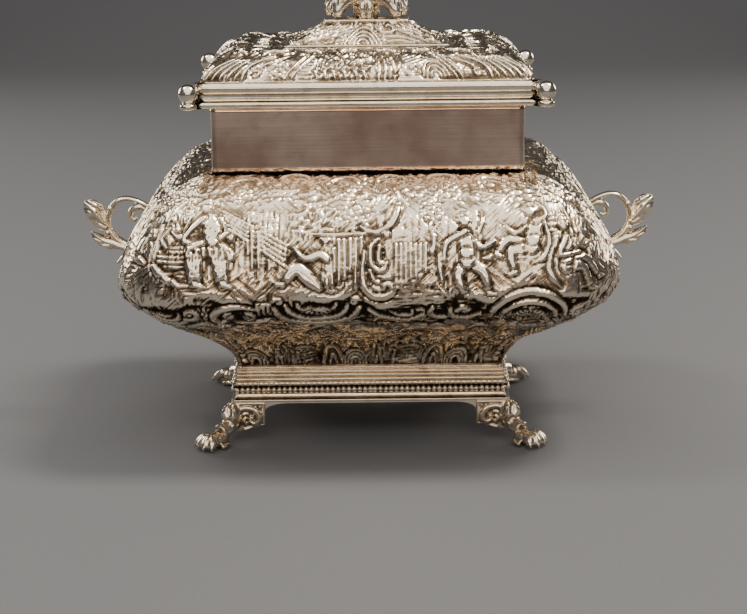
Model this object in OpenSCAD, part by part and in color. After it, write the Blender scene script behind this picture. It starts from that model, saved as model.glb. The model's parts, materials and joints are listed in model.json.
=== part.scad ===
// Covered sugar box in silver: a chased bombé bowl on four paw feet, with a plain neck,
// corner balls, two scroll handles and a stepped, hinged lid with a blossom finial.
// Millimetres. The origin is on the table under the middle of the bowl, +X runs along the
// width, -Y is the front and +Z is up.

/* [Bowl] */
// Width of the bowl at its belly
belly_w = 145.6; // [120:0.1:176]
// Depth of the bowl at its belly
belly_d = 126.2; // [104:0.1:152]
// Height of the chased body, from the foot step to the neck
belly_h = 59.9; // [49.9:0.1:72]
// Height of the widest line above the foot step
belly_peak_h = 29.7; // [24:0.1:34]
// Corner radius in plan at the widest line
belly_corner_r = 24; // [19:0.5:29]
// Width of the body where it stands on the foot step
waist_w = 79.2; // [66:0.1:95]
// Depth of the body where it stands on the foot step
waist_d = 57.6; // [48:0.1:69]
// Height of the lower chased band
waist_h = 10.7; // [8:0.1:13]
// Sheet thickness of the body
wall = 1.2; // [1:0.05:1.5]

/* [Neck and flange] */
// Width of the plain neck
neck_w = 90.2; // [75:0.1:108]
// Depth of the plain neck
neck_d = 68.5; // [57:0.1:82]
// Height of the plain neck
neck_h = 19.1; // [15:0.1:23]
// How far the flange stands out past the neck
flange_overhang = 4; // [3.3:0.1:4.8]
// Thickness of the flange plate
flange_t = 1.6; // [1.3:0.1:1.9]
// Radius of the corner balls
ball_r = 2.8; // [2.3:0.1:3.4]
// How far the ball centres lie outside the flange's straight edges
ball_out = 1.4; // [1.2:0.1:1.7]

/* [Plinth and feet] */
// Width of the plinth band
plinth_w = 82.6; // [76:0.1:98]
// Depth of the plinth band
plinth_d = 60.9; // [55:0.1:72]
// Height of the plinth band's cove
cove_h = 2.5; // [2.1:0.1:3]
// Height of the bead strip, with the reeded band above the beads
bead_h = 4.0; // [3.4:0.1:4.8]
// Height of the stepped fillets under the body
step_h = 3.3; // [2.8:0.1:4]
// Height of the feet, from the table to the plinth
foot_h = 12.5; // [10.5:0.1:15]
// Length of each face of a foot's corner bracket
bracket_len = 10; // [8.5:0.1:12]
// How far the paw's toes reach out past the plinth's corner, along each axis
paw_reach = 11; // [9.5:0.1:13]
// Height of the apron strip
apron_h = 0.5; // [0.4:0.1:1]

/* [Lid] */
// Height of the lid's rim moulding
rim_h = 5.3; // [4.4:0.1:6.4]
// Gap between the flange and the closed lid
lid_gap = 0.3; // [0.25:0.05:0.35]
// Height of the lower tier
lower_tier_h = 8.5; // [7.1:0.1:10.2]
// Width of the crest of the lower tier
crest_w = 73.4; // [61:0.1:80]
// Depth of the crest of the lower tier
crest_d = 51.7; // [43:0.1:62]
// Width of the upper tier's foot
upper_w = 48.4; // [40:0.1:58]
// Depth of the upper tier's foot
upper_d = 29; // [24:0.1:34]
// Height of the upper tier
upper_tier_h = 7; // [5.8:0.1:8.4]
// Sheet thickness of the lid
lid_wall = 1.2; // [1:0.05:1.5]
// Depth of the bezel below the rim
bezel_depth = 3; // [2.5:0.1:3.6]
// Gap between the bezel and the neck, on every side
bezel_gap = 0.6; // [0.5:0.05:0.75]

/* [Finial] */
// Height of the finial above the lid
finial_h = 22; // [18.4:0.1:26.4]
// Spread of the twigs of the calyx
calyx_w = 25; // [21:0.1:30]
// Radius of the finial stud
stud_r = 1.5; // [1.25:0.05:1.8]
// Clearance round the stud in its holes
stud_gap = 0.1; // [0.05:0.01:0.12]

/* [Handles] */
// How far a handle stands out past the belly
handle_reach = 14.3; // [12:0.1:17]
// Half of the handle's thickness across the bowl's depth
handle_half_t = 2; // [1.7:0.1:2.4]

/* [Hinge] */
// Outer radius of the hinge barrel
barrel_r = 1.6; // [1.4:0.05:1.9]
// Radius of the hinge pin
pin_r = 0.6; // [0.5:0.05:0.72]
// Running clearance round the pin in the lid's knuckles
pin_gap = 0.05; // [0.02:0.01:0.09]
// Length of one knuckle
knuckle_len = 6; // [5:0.1:7.2]
// Gap between neighbouring knuckles
knuckle_gap = 0.3; // [0.25:0.05:0.4]

/* [Hidden] */

silver = "silver";
worn_silver = "lightgray";
gilt = "khaki";
eps = 0.01;        // overlap of a cut past the face it goes through
round_fn = 48;     // facets of round parts on screen
arc_steps = 7;     // segments in one plan corner
sharp_r = 0.8;     // corner radius of the sharp mouldings
neck_r = 2;        // corner radius of the neck

// Heights of the joints between the stacked pieces.
z_plinth = foot_h;
z_bead = z_plinth + cove_h;
z_step = z_bead + bead_h;
z_body = z_step + step_h;
z_peak = z_body + belly_peak_h;
z_bowl = z_body + waist_h;
z_neck = z_body + belly_h;
z_flange = z_neck + neck_h;
z_mouth = z_flange + flange_t;
z_rim = z_mouth + lid_gap;
z_lower = z_rim + rim_h;
z_upper = z_lower + lower_tier_h - 1;
z_top = z_upper + upper_tier_h;

// Half sizes in plan.
neck_hw = neck_w / 2;
neck_hd = neck_d / 2;
flange_hw = neck_hw + flange_overhang;
flange_hd = neck_hd + flange_overhang;
ball_x = flange_hw + ball_out;
ball_y = flange_hd + ball_out;
ball_z = z_mouth + ball_r;
mouth_hw = neck_hw - wall;
mouth_hd = neck_hd - wall;
bezel_hw = mouth_hw - bezel_gap;
bezel_hd = mouth_hd - bezel_gap;
rim_hw = flange_hw - 0.1;
rim_hd = flange_hd - 0.15;
fillet_in = 1.3;               // how far the rim's lowest fillet stands back
front_notch_r = ball_r + 0.5;  // the lid's front corners lift straight off their balls
back_notch_r = ball_r + 2.2;   // its back corners swing down past theirs
plinth_hw = plinth_w / 2;
plinth_hd = plinth_d / 2;
plinth_wall = 3.4;
hinge_y = flange_hd + barrel_r + 0.55;
hinge_z = z_mouth + lid_gap / 2;
tier_inset = 1.2;              // the lower tier stands this far inside the rim

// Body section, as a fraction of the way out from the foot or neck to the belly: a smooth
// S from the foot to the widest line, and a full round shoulder from there to the neck.
foot_pull = 14;        // height over which the foot rises before it swings out
peak_pull = 13;        // height over which the wall is nearly upright below the widest line
shoulder_pull = 11;    // the same above the widest line
shoulder_full = 0.54;  // how far out the shoulder leaves the neck, level with it
function cubic(a, b, c, d, t) =
    a * pow(1 - t, 3) + 3 * b * t * pow(1 - t, 2) + 3 * c * t * t * (1 - t) + d * pow(t, 3);
function lower_z(t) = cubic(z_body, z_body + foot_pull, z_peak - peak_pull, z_peak, t);
function upper_z(t) = cubic(z_peak, z_peak + shoulder_pull, z_neck - 0.3, z_neck, t);
function lower_out(t) = cubic(0, 0, 1, 1, t);
function upper_out(t) = cubic(1, 1, shoulder_full, 0, t);
function solve(z, low, lo = 0, hi = 1, n = 18) =
    let (mid = (lo + hi) / 2, at = low ? lower_z(mid) : upper_z(mid))
    n == 0 ? mid : at < z ? solve(z, low, mid, hi, n - 1) : solve(z, low, lo, mid, n - 1);
function swell(z) = z < z_peak ? lower_out(solve(z, true)) : upper_out(solve(z, false));
function mix(a, b, f) = a + (b - a) * f;
function body_hw(z) = mix(z < z_peak ? waist_w / 2 : neck_hw, belly_w / 2, swell(z));
function body_hd(z) = mix(z < z_peak ? waist_d / 2 : neck_hd, belly_d / 2, swell(z));
function body_r(z) = mix(z < z_peak ? sharp_r : neck_r, belly_corner_r, pow(swell(z), 1.4));

// One plan ring: a rectangle of half sizes hw and hd with corners of radius r, at height z.
function ring(hw, hd, r, z) =
    [for (q = [0:3]) for (i = [0:arc_steps])
        let (a = 90 * q + 90 * i / arc_steps,
             sx = (q == 0 || q == 3) ? 1 : -1,
             sy = (q < 2) ? 1 : -1)
        [sx * (hw - r) + r * cos(a), sy * (hd - r) + r * sin(a), z]];
function body_ring(z, inset = 0) =
    ring(body_hw(z) - inset, body_hd(z) - inset, max(body_r(z) - inset, 0.3), z);
// Rings of a moulding: each profile point is [how far out, height].
function moulded(profile, hw, hd, r) =
    [for (p = profile) ring(hw + p[0], hd + p[0], max(r + p[0], 0.3), p[1])];
// Points of a round stretch of a profile.
function arc(cx, cz, r, from, to, n = 6) =
    [for (i = [0:n]) let (a = mix(from, to, i / n)) [cx + r * cos(a), cz + r * sin(a)]];
function flatten(lists) = [for (l = lists) for (item = l) item];
function quad(j, k, i, n) =
    let (i2 = (i + 1) % n)
    [[j * n + i, k * n + i, k * n + i2], [j * n + i, k * n + i2, j * n + i2]];

// Closed solid through a stack of rings, from its lowest cap to its last cap.
module skin(rings) {
    n = len(rings[0]);
    m = len(rings);
    sides = [for (j = [0:m - 2]) for (i = [0:n - 1]) for (f = quad(j, j + 1, i, n)) f];
    bottom = [[for (i = [0:n - 1]) i]];
    top = [[for (i = [n - 1:-1:0]) (m - 1) * n + i]];
    polyhedron(points = flatten(rings), faces = concat(bottom, sides, top), convexity = 6);
}

// Closed band whose section runs up the outside and back down the inside.
module band(rings) {
    n = len(rings[0]);
    m = len(rings);
    sides = [for (j = [0:m - 1]) for (i = [0:n - 1]) for (f = quad(j, (j + 1) % m, i, n)) f];
    polyhedron(points = flatten(rings), faces = sides, convexity = 6);
}

// Flat rectangle with rounded corners, built from true arcs.
module rounded_rect(hw, hd, r) {
    square([2 * hw, 2 * (hd - r)], center = true);
    square([2 * (hw - r), 2 * hd], center = true);
    for (sx = [-1, 1])
        for (sy = [-1, 1])
            translate([sx * (hw - r), sy * (hd - r)]) circle(r, $fn = round_fn);
}

// Tube of elliptic section along a path in the XZ plane. Each path point is
// [x, z, half thickness in the plane, half thickness across it].
tube_sides = 12;
function path_dir(path, i) =
    let (a = path[max(i - 1, 0)], b = path[min(i + 1, len(path) - 1)],
         d = [b[0] - a[0], b[1] - a[1]])
    d / norm(d);
function tube_ring(path, i) =
    let (p = path[i], d = path_dir(path, i))
    [for (s = [0:tube_sides - 1])
        let (a = -360 * s / tube_sides, u = p[2] * cos(a))
        [p[0] - d[1] * u, p[3] * sin(a), p[1] + d[0] * u]];
module tube(path) {
    skin([for (i = [0:len(path) - 1]) tube_ring(path, i)]);
}
// Path along the cubic through control points p, in n steps; size(t) gives the thicknesses.
function curve(p, n, size) =
    [for (i = [0:n])
        let (t = i / n, s = size(t))
        [cubic(p[0][0], p[1][0], p[2][0], p[3][0], t),
         cubic(p[0][1], p[1][1], p[2][1], p[3][1], t), s[0], s[1]]];

// Copies a back right corner piece to the corner on the sx, sy side.
module at_corner(sx, sy) {
    mirror([sx < 0 ? 1 : 0, 0, 0]) mirror([0, sy < 0 ? 1 : 0, 0]) children();
}

// ---- Body ----

body_levels = 9;
floor_t = 1.8;
module bowl_shell() {
    outer_low = [for (i = [0:body_levels]) body_ring(mix(z_bowl, z_peak, i / body_levels))];
    outer_high = [for (i = [1:body_levels])
        body_ring(upper_z(i / body_levels))];
    z_in = z_bowl + floor_t;
    inner_high = [for (i = [body_levels:-1:0]) body_ring(upper_z(i / body_levels), wall)];
    inner_low = [for (i = [body_levels - 1:-1:0])
        body_ring(mix(z_in, z_peak, i / body_levels), wall)];
    color(silver) skin(concat(outer_low, outer_high, inner_high, inner_low));
}

module waist_band() {
    n = 6;
    outer = [for (i = [0:n]) body_ring(mix(z_body, z_bowl, i / n))];
    inner = [for (i = [n:-1:0]) body_ring(mix(z_body, z_bowl, i / n), wall + 0.5)];
    color(silver) band(concat(outer, inner));
}

// Three stepped fillets that carry the body.
module foot_step() {
    low_out = -0.9;                           // the lowest fillet, from the plinth's face
    mid_out = waist_w / 2 - plinth_hw + 0.5;  // the next one
    top_out = mid_out - 0.5;                  // the highest, in line with the body's foot
    low_top = z_step + 0.9;
    mid_top = z_body - 0.9;
    slope = 0.2;                              // height of the slope between two fillets
    profile = [[-plinth_wall, z_step], [low_out, z_step], [low_out, low_top],
               [mid_out, low_top + slope], [mid_out, mid_top], [top_out, mid_top + slope],
               [top_out, z_body], [-plinth_wall, z_body]];
    color(silver) band(moulded(profile, plinth_hw, plinth_hd, sharp_r + 2));
}

// Two half-round wires; the finished piece is a row of small beads under a reeded band.
module bead_strip() {
    r = 0.225 * bead_h;                  // of the beads and of the band
    bead_z = z_bead + 0.275 * bead_h;    // middle of the beads
    band_z = z_bead + 0.76 * bead_h;     // middle of the band
    flat_in = -0.7;
    band_in = -0.9;
    profile = concat(
        [[-plinth_wall, z_bead], [flat_in, z_bead]],
        arc(flat_in, bead_z, r, -80, 80),
        arc(band_in, band_z, r, -80, 80),
        [[band_in, z_step], [-plinth_wall, z_step]]);
    color(silver) band(moulded(profile, plinth_hw, plinth_hd, sharp_r + 1));
}

// Plain cove under the beads, closed below by a small fillet.
module plinth_band() {
    fillet = 0.7;
    cove_r = cove_h - fillet;
    profile = concat(
        [[-plinth_wall, z_plinth], [0, z_plinth], [0, z_plinth + fillet]],
        arc(0.2, z_bead, cove_r, 260, 190, 5),
        [[-plinth_wall, z_bead]]);
    color(silver) band(moulded(profile, plinth_hw, plinth_hd, sharp_r));
}

module base_plate() {
    t = 1.2;
    color(worn_silver) translate([0, 0, z_plinth])
        linear_extrude(t)
            square([2 * (plinth_hw - plinth_wall), 2 * (plinth_hd - plinth_wall)], center = true);
}

// One length of apron, along X, with its lower edge swept up between the feet.
module apron_length(length) {
    t = 1.2;
    spandrel = 6.5;                // length of the sweep at each end
    drop = min(2.2, foot_h / 4);   // and how far it comes down
    half = length / 2;
    points = concat(
        [[half, 0], [-half, 0], [-half, -apron_h - drop]],
        [for (a = [0:15:90])
            [-half + spandrel * (1 - cos(a)), -apron_h - drop * (1 - sin(a))]],
        [for (a = [90:-15:0])
            [half - spandrel * (1 - cos(a)), -apron_h - drop * (1 - sin(a))]],
        [[half, -apron_h - drop]]);
    translate([0, t, z_plinth]) rotate([90, 0, 0]) linear_extrude(t) polygon(points);
}
apron_in = 0.6;   // the apron stands back from the plinth's face
module apron_front() {
    color(silver) translate([0, apron_in - plinth_hd, 0])
        apron_length(2 * (plinth_hw - bracket_len));
}
module apron_back() {
    rotate([0, 0, 180]) apron_front();
}
module apron_right() {
    color(silver) rotate([0, 0, 90]) translate([0, apron_in - plinth_hw, 0])
        apron_length(2 * (plinth_hd - bracket_len));
}
module apron_left() {
    rotate([0, 0, 180]) apron_right();
}

// ---- Feet ----

// Face of a corner bracket in its own plane: the lower edge is a cabriole curve.
bracket_t = 1.8;
bracket_foot = 3.2;   // height of the bracket's point above the table
bracket_heel = 2;     // length of that point
bracket_drop = 6.8;   // height of the bracket's inner end
module bracket_face() {
    steps = 8;
    inner_z = foot_h - bracket_drop;
    points = concat(
        [[0, foot_h], [0, bracket_foot]],
        [for (i = [0:steps])
            let (t = i / steps)
            [cubic(bracket_heel, bracket_heel + 2, bracket_len - 4, bracket_len, t),
             cubic(bracket_foot, bracket_foot + 1, inner_z - 0.6, inner_z, t)]],
        [[bracket_len, foot_h]]);
    linear_extrude(bracket_t) polygon(points);
}

// A ball centred so far out from the middle of the paw, along the diagonal, and so high.
paw_fn = 24;
module paw_ball(out, z, r) {
    toe_room = 6;   // from the middle of the paw to the tips of the toes, along each axis
    translate([plinth_hw + paw_reach - toe_room + out, plinth_hd + paw_reach - toe_room + out, z])
        sphere(r, $fn = paw_fn);
}

module foot() {
    toe_r = 2.1;
    toe_span = 4.1;     // how far the toes lie from the middle of the paw
    toe_spread = 27;    // angle between neighbouring toes
    toe_sink = 0.5;     // how much of a toe is worn flat where it stands
    knee_in = 2.6;
    knee_r = 2.5;
    ankle_out = -2.4;
    ankle_z = 5.2;
    ankle_r = 2.9;
    color(silver) intersection() {
        union() {
            for (side = [0, 1])
                translate([plinth_hw, plinth_hd, 0])
                    mirror([side, -side, 0]) rotate([90, 0, 0]) mirror([1, 0, 0]) bracket_face();
            hull() {
                translate([plinth_hw - knee_in, plinth_hd - knee_in, foot_h - 3])
                    sphere(knee_r, $fn = paw_fn);
                paw_ball(ankle_out, ankle_z, ankle_r);
            }
            hull() {
                paw_ball(ankle_out, ankle_z, ankle_r);
                paw_ball(-1, 2.4, 4.2);
                paw_ball(1.4, 2.2, 3.2);
            }
            for (i = [-1.5:1:1.5])
                let (a = 45 + toe_spread * i)
                translate([toe_span * cos(a), toe_span * sin(a), 0])
                    paw_ball(0, toe_r - toe_sink, toe_r);
        }
        cube([belly_w, belly_d, foot_h]);
    }
}
module foot_front_left() { at_corner(-1, -1) foot(); }
module foot_front_right() { at_corner(1, -1) foot(); }
module foot_back_left() { at_corner(-1, 1) foot(); }
module foot_back_right() { at_corner(1, 1) foot(); }

// ---- Neck, flange and balls ----

module neck_collar() {
    color(silver) translate([0, 0, z_neck]) linear_extrude(neck_h)
        difference() {
            rounded_rect(neck_hw, neck_hd, neck_r);
            rounded_rect(mouth_hw, mouth_hd, neck_r - wall);
        }
}

peg_r = 0.8;          // a ball's peg, soldered through the flange
lobe_r = 3.2;         // corner lobe of the flange
module flange_plate() {
    color(silver) translate([0, 0, z_flange])
        difference() {
            linear_extrude(flange_t)
                difference() {
                    union() {
                        rounded_rect(flange_hw, flange_hd, 1);
                        for (sx = [-1, 1])
                            for (sy = [-1, 1])
                                translate([sx * ball_x, sy * ball_y])
                                    circle(lobe_r, $fn = round_fn);
                    }
                    rounded_rect(mouth_hw, mouth_hd, neck_r - wall);
                }
            for (sx = [-1, 1])
                for (sy = [-1, 1])
                    translate([sx * ball_x, sy * ball_y, -eps])
                        cylinder(r = peg_r, h = flange_t + 2 * eps, $fn = round_fn);
        }
}

module corner_ball() {
    seat_r = 1.5;
    seat_h = 0.5;
    color(silver) translate([ball_x, ball_y, 0]) {
        translate([0, 0, ball_z]) sphere(ball_r, $fn = round_fn);
        translate([0, 0, z_mouth]) cylinder(r = seat_r, h = seat_h, $fn = round_fn);
        translate([0, 0, z_flange]) cylinder(r = peg_r, h = flange_t + ball_r, $fn = round_fn);
    }
}
module corner_ball_front_left() { at_corner(-1, -1) corner_ball(); }
module corner_ball_front_right() { at_corner(1, -1) corner_ball(); }
module corner_ball_back_left() { at_corner(-1, 1) corner_ball(); }
module corner_ball_back_right() { at_corner(1, 1) corner_ball(); }

// ---- Handles ----

// Cast scroll on the +X end: an upper and a lower strand, two leaves and a tail. The strands
// run on into the wall and are cut back to it.
handle_scale = handle_reach / 14.3;   // the curves below are drawn for a reach of 14.3
// A place that lies dx out from the belly's widest line and dz up from it.
function handle_at(dx, dz) = [belly_w / 2 + handle_scale * dx, z_peak + dz];
// Half thickness in the scroll's plane, and across it, part t of the way along each piece.
function upper_size(t) = [mix(0.75, 1.15, t), handle_half_t * mix(0.6, 1, t)];
function lower_size(t) = [mix(0.8, 1.5, t), handle_half_t * mix(0.7, 1, t)];
function leaf_size(t) = [mix(1.3, 0.6, t), handle_half_t * (0.7 + 1.3 * sin(160 * t))];
function tail_size(t) = [mix(1.2, 0.3, t), handle_half_t * mix(1, 0.3, t)];
module handle_strand(places, steps, size) {
    tube(curve([for (p = places) handle_at(p[0], p[1])], steps, size));
}
module handle() {
    wall_low = z_peak - 12;
    wall_high = z_peak + 24;
    color(silver) difference() {
        union() {
            handle_strand([[-8, 13], [-4, 15], [2, 19.5], [5.6, 14.6]], 8,
                          function(t) upper_size(t));
            handle_strand([[5.2, 15.1], [9, 9.5], [7.6, 4], [-2, 1]], 10,
                          function(t) lower_size(t));
            handle_strand([[6.9, 8], [9, 10], [11.5, 12], [13.6, 15.8]], 8,
                          function(t) leaf_size(t));
            handle_strand([[6, 4.6], [8.5, 3], [10.5, 4], [11.9, 6.4]], 6,
                          function(t) leaf_size(t));
            handle_strand([[-1.5, 0.5], [1, 0], [3, -1.6], [4.7, -3.4]], 6,
                          function(t) tail_size(t));
        }
        skin([for (i = [0:12]) body_ring(mix(wall_low, wall_high, i / 12))]);
    }
}
module handle_right() { handle(); }
module handle_left() { mirror([1, 0, 0]) handle(); }

// ---- Hinge ----

// Knuckles are counted from the middle one, 0, to -2 on the left and 2 on the right.
function knuckle_x(index) = index * (knuckle_len + knuckle_gap) - knuckle_len / 2;
// Round bar on the hinge's line, as long as one knuckle and past more at each end.
module hinge_bar(index, r, past) {
    translate([knuckle_x(index) - past, hinge_y, hinge_z])
        rotate([0, 90, 0]) cylinder(r = r, h = knuckle_len + 2 * past, $fn = round_fn);
}

// Knuckle with the leaf that joins it to the flange's back edge.
module body_knuckle(index) {
    leaf_low = hinge_z - barrel_r + 0.15;
    color(worn_silver) difference() {
        union() {
            hinge_bar(index, barrel_r, 0);
            translate([knuckle_x(index), flange_hd, leaf_low])
                cube([knuckle_len, hinge_y - flange_hd, z_mouth - leaf_low]);
        }
        hinge_bar(index, pin_r, eps);
    }
}
module hinge_knuckle_left() { body_knuckle(-2); }
module hinge_knuckle_middle() { body_knuckle(0); }
module hinge_knuckle_right() { body_knuckle(2); }

// Knuckle with the leaf that joins it to the lid rim's lowest fillet.
lid_leaf_t = 1.2;
module lid_knuckle(index) {
    back = rim_hd - fillet_in;
    color(worn_silver) difference() {
        union() {
            hinge_bar(index, barrel_r, 0);
            translate([knuckle_x(index), back, z_rim])
                cube([knuckle_len, hinge_y - back, lid_leaf_t]);
        }
        hinge_bar(index, pin_r + pin_gap, eps);
    }
}
module lid_knuckle_left() { lid_knuckle(-1); }
module lid_knuckle_right() { lid_knuckle(1); }

module hinge_pin() {
    head_h = 0.6;
    head_r = 1.7 * pin_r;
    length = 5 * knuckle_len + 4 * knuckle_gap;
    color(worn_silver) translate([-length / 2, hinge_y, hinge_z]) rotate([0, 90, 0]) {
        cylinder(r = pin_r, h = length, $fn = round_fn);
        for (z = [-head_h, length])
            translate([0, 0, z]) cylinder(r = head_r, h = head_h, $fn = round_fn);
    }
}

// ---- Lid ----

// Low fillet and bold bead round the lid, hollowed at the corners to pass the balls.
module lid_rim() {
    fillet_h = lid_leaf_t;
    bead_r = 1.75;
    bead_z = z_lower - bead_r;
    inner = bezel_hw - rim_hw;
    profile = concat(
        [[inner, z_rim], [-fillet_in, z_rim], [-fillet_in, z_rim + fillet_h]],
        [[0.3 - fillet_in, bead_z - bead_r]],
        arc(-bead_r, bead_z, bead_r, -60, 90),
        [[inner, z_lower]]);
    color(silver) difference() {
        band([for (p = profile)
            p[0] == inner ? ring(bezel_hw, bezel_hd, neck_r - wall, p[1])
                          : ring(rim_hw + p[0], rim_hd + p[0], 2, p[1])]);
        for (sx = [-1, 1])
            for (sy = [-1, 1])
                translate([sx * ball_x, sy * ball_y, z_rim - eps])
                    cylinder(r = sy < 0 ? front_notch_r : back_notch_r,
                             h = rim_h + 2 * eps, $fn = round_fn);
    }
}

// Strip inside the rim that drops into the mouth.
module lid_bezel() {
    t = 1;
    color(gilt) translate([0, 0, z_rim - bezel_depth])
        linear_extrude(bezel_depth + rim_h * 0.6)
            difference() {
                rounded_rect(bezel_hw, bezel_hd, neck_r - wall);
                square([2 * (bezel_hw - t), 2 * (bezel_hd - t)], center = true);
            }
}

tier_r = 3;     // corner radius of the lower tier
tier_ledge = 3; // width of the ledge on which the upper tier stands
module lid_lower_tier() {
    hw = rim_hw - tier_inset;
    hd = rim_hd - tier_inset;
    seat_hw = upper_w / 2 - tier_ledge;
    seat_hd = upper_d / 2 - tier_ledge;
    crest = z_lower + lower_tier_h - 0.2;
    // Rounded flank from the rim to the crest, then a shallow dish to the upper tier.
    flank = [for (i = [0:8])
        let (t = i / 8)
        ring(cubic(hw, hw - 1, crest_w / 2 + 4.5, crest_w / 2, t),
             cubic(hd, hd - 1, crest_d / 2 + 4.5, crest_d / 2, t),
             mix(tier_r, sharp_r, t),
             cubic(z_lower, z_lower + 4, crest - 1.2, crest, t))];
    dish = [for (i = [1:4])
        let (t = i / 4)
        ring(mix(crest_w / 2, upper_w / 2, t), mix(crest_d / 2, upper_d / 2, t), sharp_r,
             mix(crest, z_upper, sin(90 * t)))];
    seat = [for (z = [z_upper, z_upper - lid_wall]) ring(seat_hw, seat_hd, sharp_r, z)];
    inside = [for (i = [8:-1:0])
        let (t = i / 8)
        ring(cubic(hw, hw - 1, crest_w / 2 + 4.5, crest_w / 2, t) - lid_wall - 0.4,
             cubic(hd, hd - 1, crest_d / 2 + 4.5, crest_d / 2, t) - lid_wall - 0.4,
             mix(tier_r, sharp_r, t) * 0.6,
             cubic(z_lower, z_lower + 3, z_upper - lid_wall - 0.4, z_upper - lid_wall, t))];
    color(silver) band(concat(flank, dish, seat, inside));
}

// Ogee roof with a flat top, bored for the stud.
top_w = 25;
top_d = 13;
module lid_upper_tier() {
    hw = upper_w / 2;
    hd = upper_d / 2;
    outside = [for (i = [0:8])
        let (t = i / 8)
        ring(cubic(hw, hw - 1, top_w / 2 + 4, top_w / 2, t),
             cubic(hd, hd - 1, top_d / 2 + 3, top_d / 2, t), sharp_r,
             cubic(z_upper, z_upper + 2.5, z_top - 4, z_top, t))];
    inside = [for (i = [0:6])
        let (t = i / 6)
        ring(cubic(hw, hw - 1, top_w / 2 + 4, top_w / 2, t) - lid_wall,
             cubic(hd, hd - 1, top_d / 2 + 3, top_d / 2, t) - lid_wall, 0.4,
             cubic(z_upper - eps, z_upper + 2, z_top - 4 - lid_wall, z_top - lid_wall, t))];
    color(silver) difference() {
        skin(outside);
        skin(inside);
        translate([0, 0, z_top - 2 * lid_wall])
            cylinder(r = stud_r + stud_gap, h = 3 * lid_wall, $fn = round_fn);
    }
}

// ---- Finial ----

z_blossom = z_top + 8;   // the blossom sits in the calyx here
calyx_core_r = 2.6;
calyx_foot_r = 3.4;
function twig_size(t) = [mix(0.7, 1, t), mix(0.8, 1.3, t)];
// Four twigs that arch from the core down to the edges of the flat top: two long ones along
// the width and two short ones along the depth.
module calyx_twigs() {
    k = calyx_w / 25;
    for (a = [0:90:270])
        let (tip = k * (a % 180 == 0 ? 10.9 : 5.4))
        rotate([0, 0, a])
            tube(curve([[1.5, z_top + 7], [7 * k, z_top + 8.4], [tip + 1, z_top + 4.6],
                        [tip, z_top + 0.9]], 8, function(t) twig_size(t)));
}
module finial_calyx() {
    core = concat([[0, z_top], [calyx_foot_r, z_top], [calyx_foot_r, z_top + 0.8]],
                  arc(calyx_foot_r + 1, z_top + 3, 2.2, 220, 140),
                  [[calyx_core_r + 0.6, z_top + 6.4], [calyx_core_r, z_blossom], [0, z_blossom]]);
    color(silver) difference() {
        union() {
            intersection() {
                calyx_twigs();
                translate([-calyx_w, -calyx_w, z_top])
                    cube([2 * calyx_w, 2 * calyx_w, finial_h]);
            }
            rotate_extrude($fn = round_fn) polygon(core);
        }
        translate([0, 0, z_top - eps])
            cylinder(r = stud_r + stud_gap, h = finial_h, $fn = round_fn);
    }
}

module finial_blossom() {
    steps = 16;
    h = finial_h - (z_blossom - z_top);
    bulge = 6.3;   // control radius of the bud's side
    side = [for (i = [0:steps - 1])
        let (t = i / steps)
        [cubic(calyx_core_r, bulge, bulge, 0, t), cubic(0, 0.6, h, h, t)]];
    color(silver) difference() {
        translate([0, 0, z_blossom]) rotate_extrude($fn = round_fn)
            polygon(concat([[0, 0]], side, [[0, h]]));
        translate([0, 0, z_blossom - eps])
            cylinder(r = stud_r, h = stud_bite, $fn = round_fn);
    }
}

// Stud from inside the lid up into the blossom, with its washer and nut.
stud_bite = 6;    // depth of the stud in the blossom
stud_past = 0.8;  // length of the stud that shows under the nut
washer_t = 0.8;
nut_h = 2.4;
module finial_stud() {
    low = z_top - lid_wall - washer_t - nut_h - stud_past;
    color(worn_silver) translate([0, 0, low])
        cylinder(r = stud_r, h = z_blossom + stud_bite - eps - low, $fn = round_fn);
}
module finial_washer() {
    color(worn_silver) translate([0, 0, z_top - lid_wall - washer_t])
        difference() {
            cylinder(r = 2.6 * stud_r, h = washer_t, $fn = round_fn);
            translate([0, 0, -eps])
                cylinder(r = stud_r + stud_gap, h = washer_t + 2 * eps, $fn = round_fn);
        }
}
module finial_nut() {
    color(worn_silver) translate([0, 0, z_top - lid_wall - washer_t - nut_h])
        difference() {
            cylinder(r = 1.9 * stud_r, h = nut_h, $fn = 6);
            translate([0, 0, -eps]) cylinder(r = stud_r, h = nut_h + 2 * eps, $fn = round_fn);
        }
}

bowl_shell();
waist_band();
foot_step();
bead_strip();
plinth_band();
base_plate();
apron_front();
apron_back();
apron_left();
apron_right();
foot_front_left();
foot_front_right();
foot_back_left();
foot_back_right();
neck_collar();
flange_plate();
corner_ball_front_left();
corner_ball_front_right();
corner_ball_back_left();
corner_ball_back_right();
handle_left();
handle_right();
hinge_knuckle_left();
hinge_knuckle_middle();
hinge_knuckle_right();
hinge_pin();
lid_rim();
lid_bezel();
lid_lower_tier();
lid_upper_tier();
lid_knuckle_left();
lid_knuckle_right();
finial_calyx();
finial_blossom();
finial_stud();
finial_washer();
finial_nut();
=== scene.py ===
"""Looks of a chased silver sugar box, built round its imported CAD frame.

Lengths in this script are millimetres, turned to metres where a mesh is made. The CAD frame
is shared: +X runs along the width, -Y is the front, +Z is up, and the table is at z = 0.
"""

import json
import math

import bmesh
import bpy
import numpy as np
from mathutils import Matrix, Vector


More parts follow.
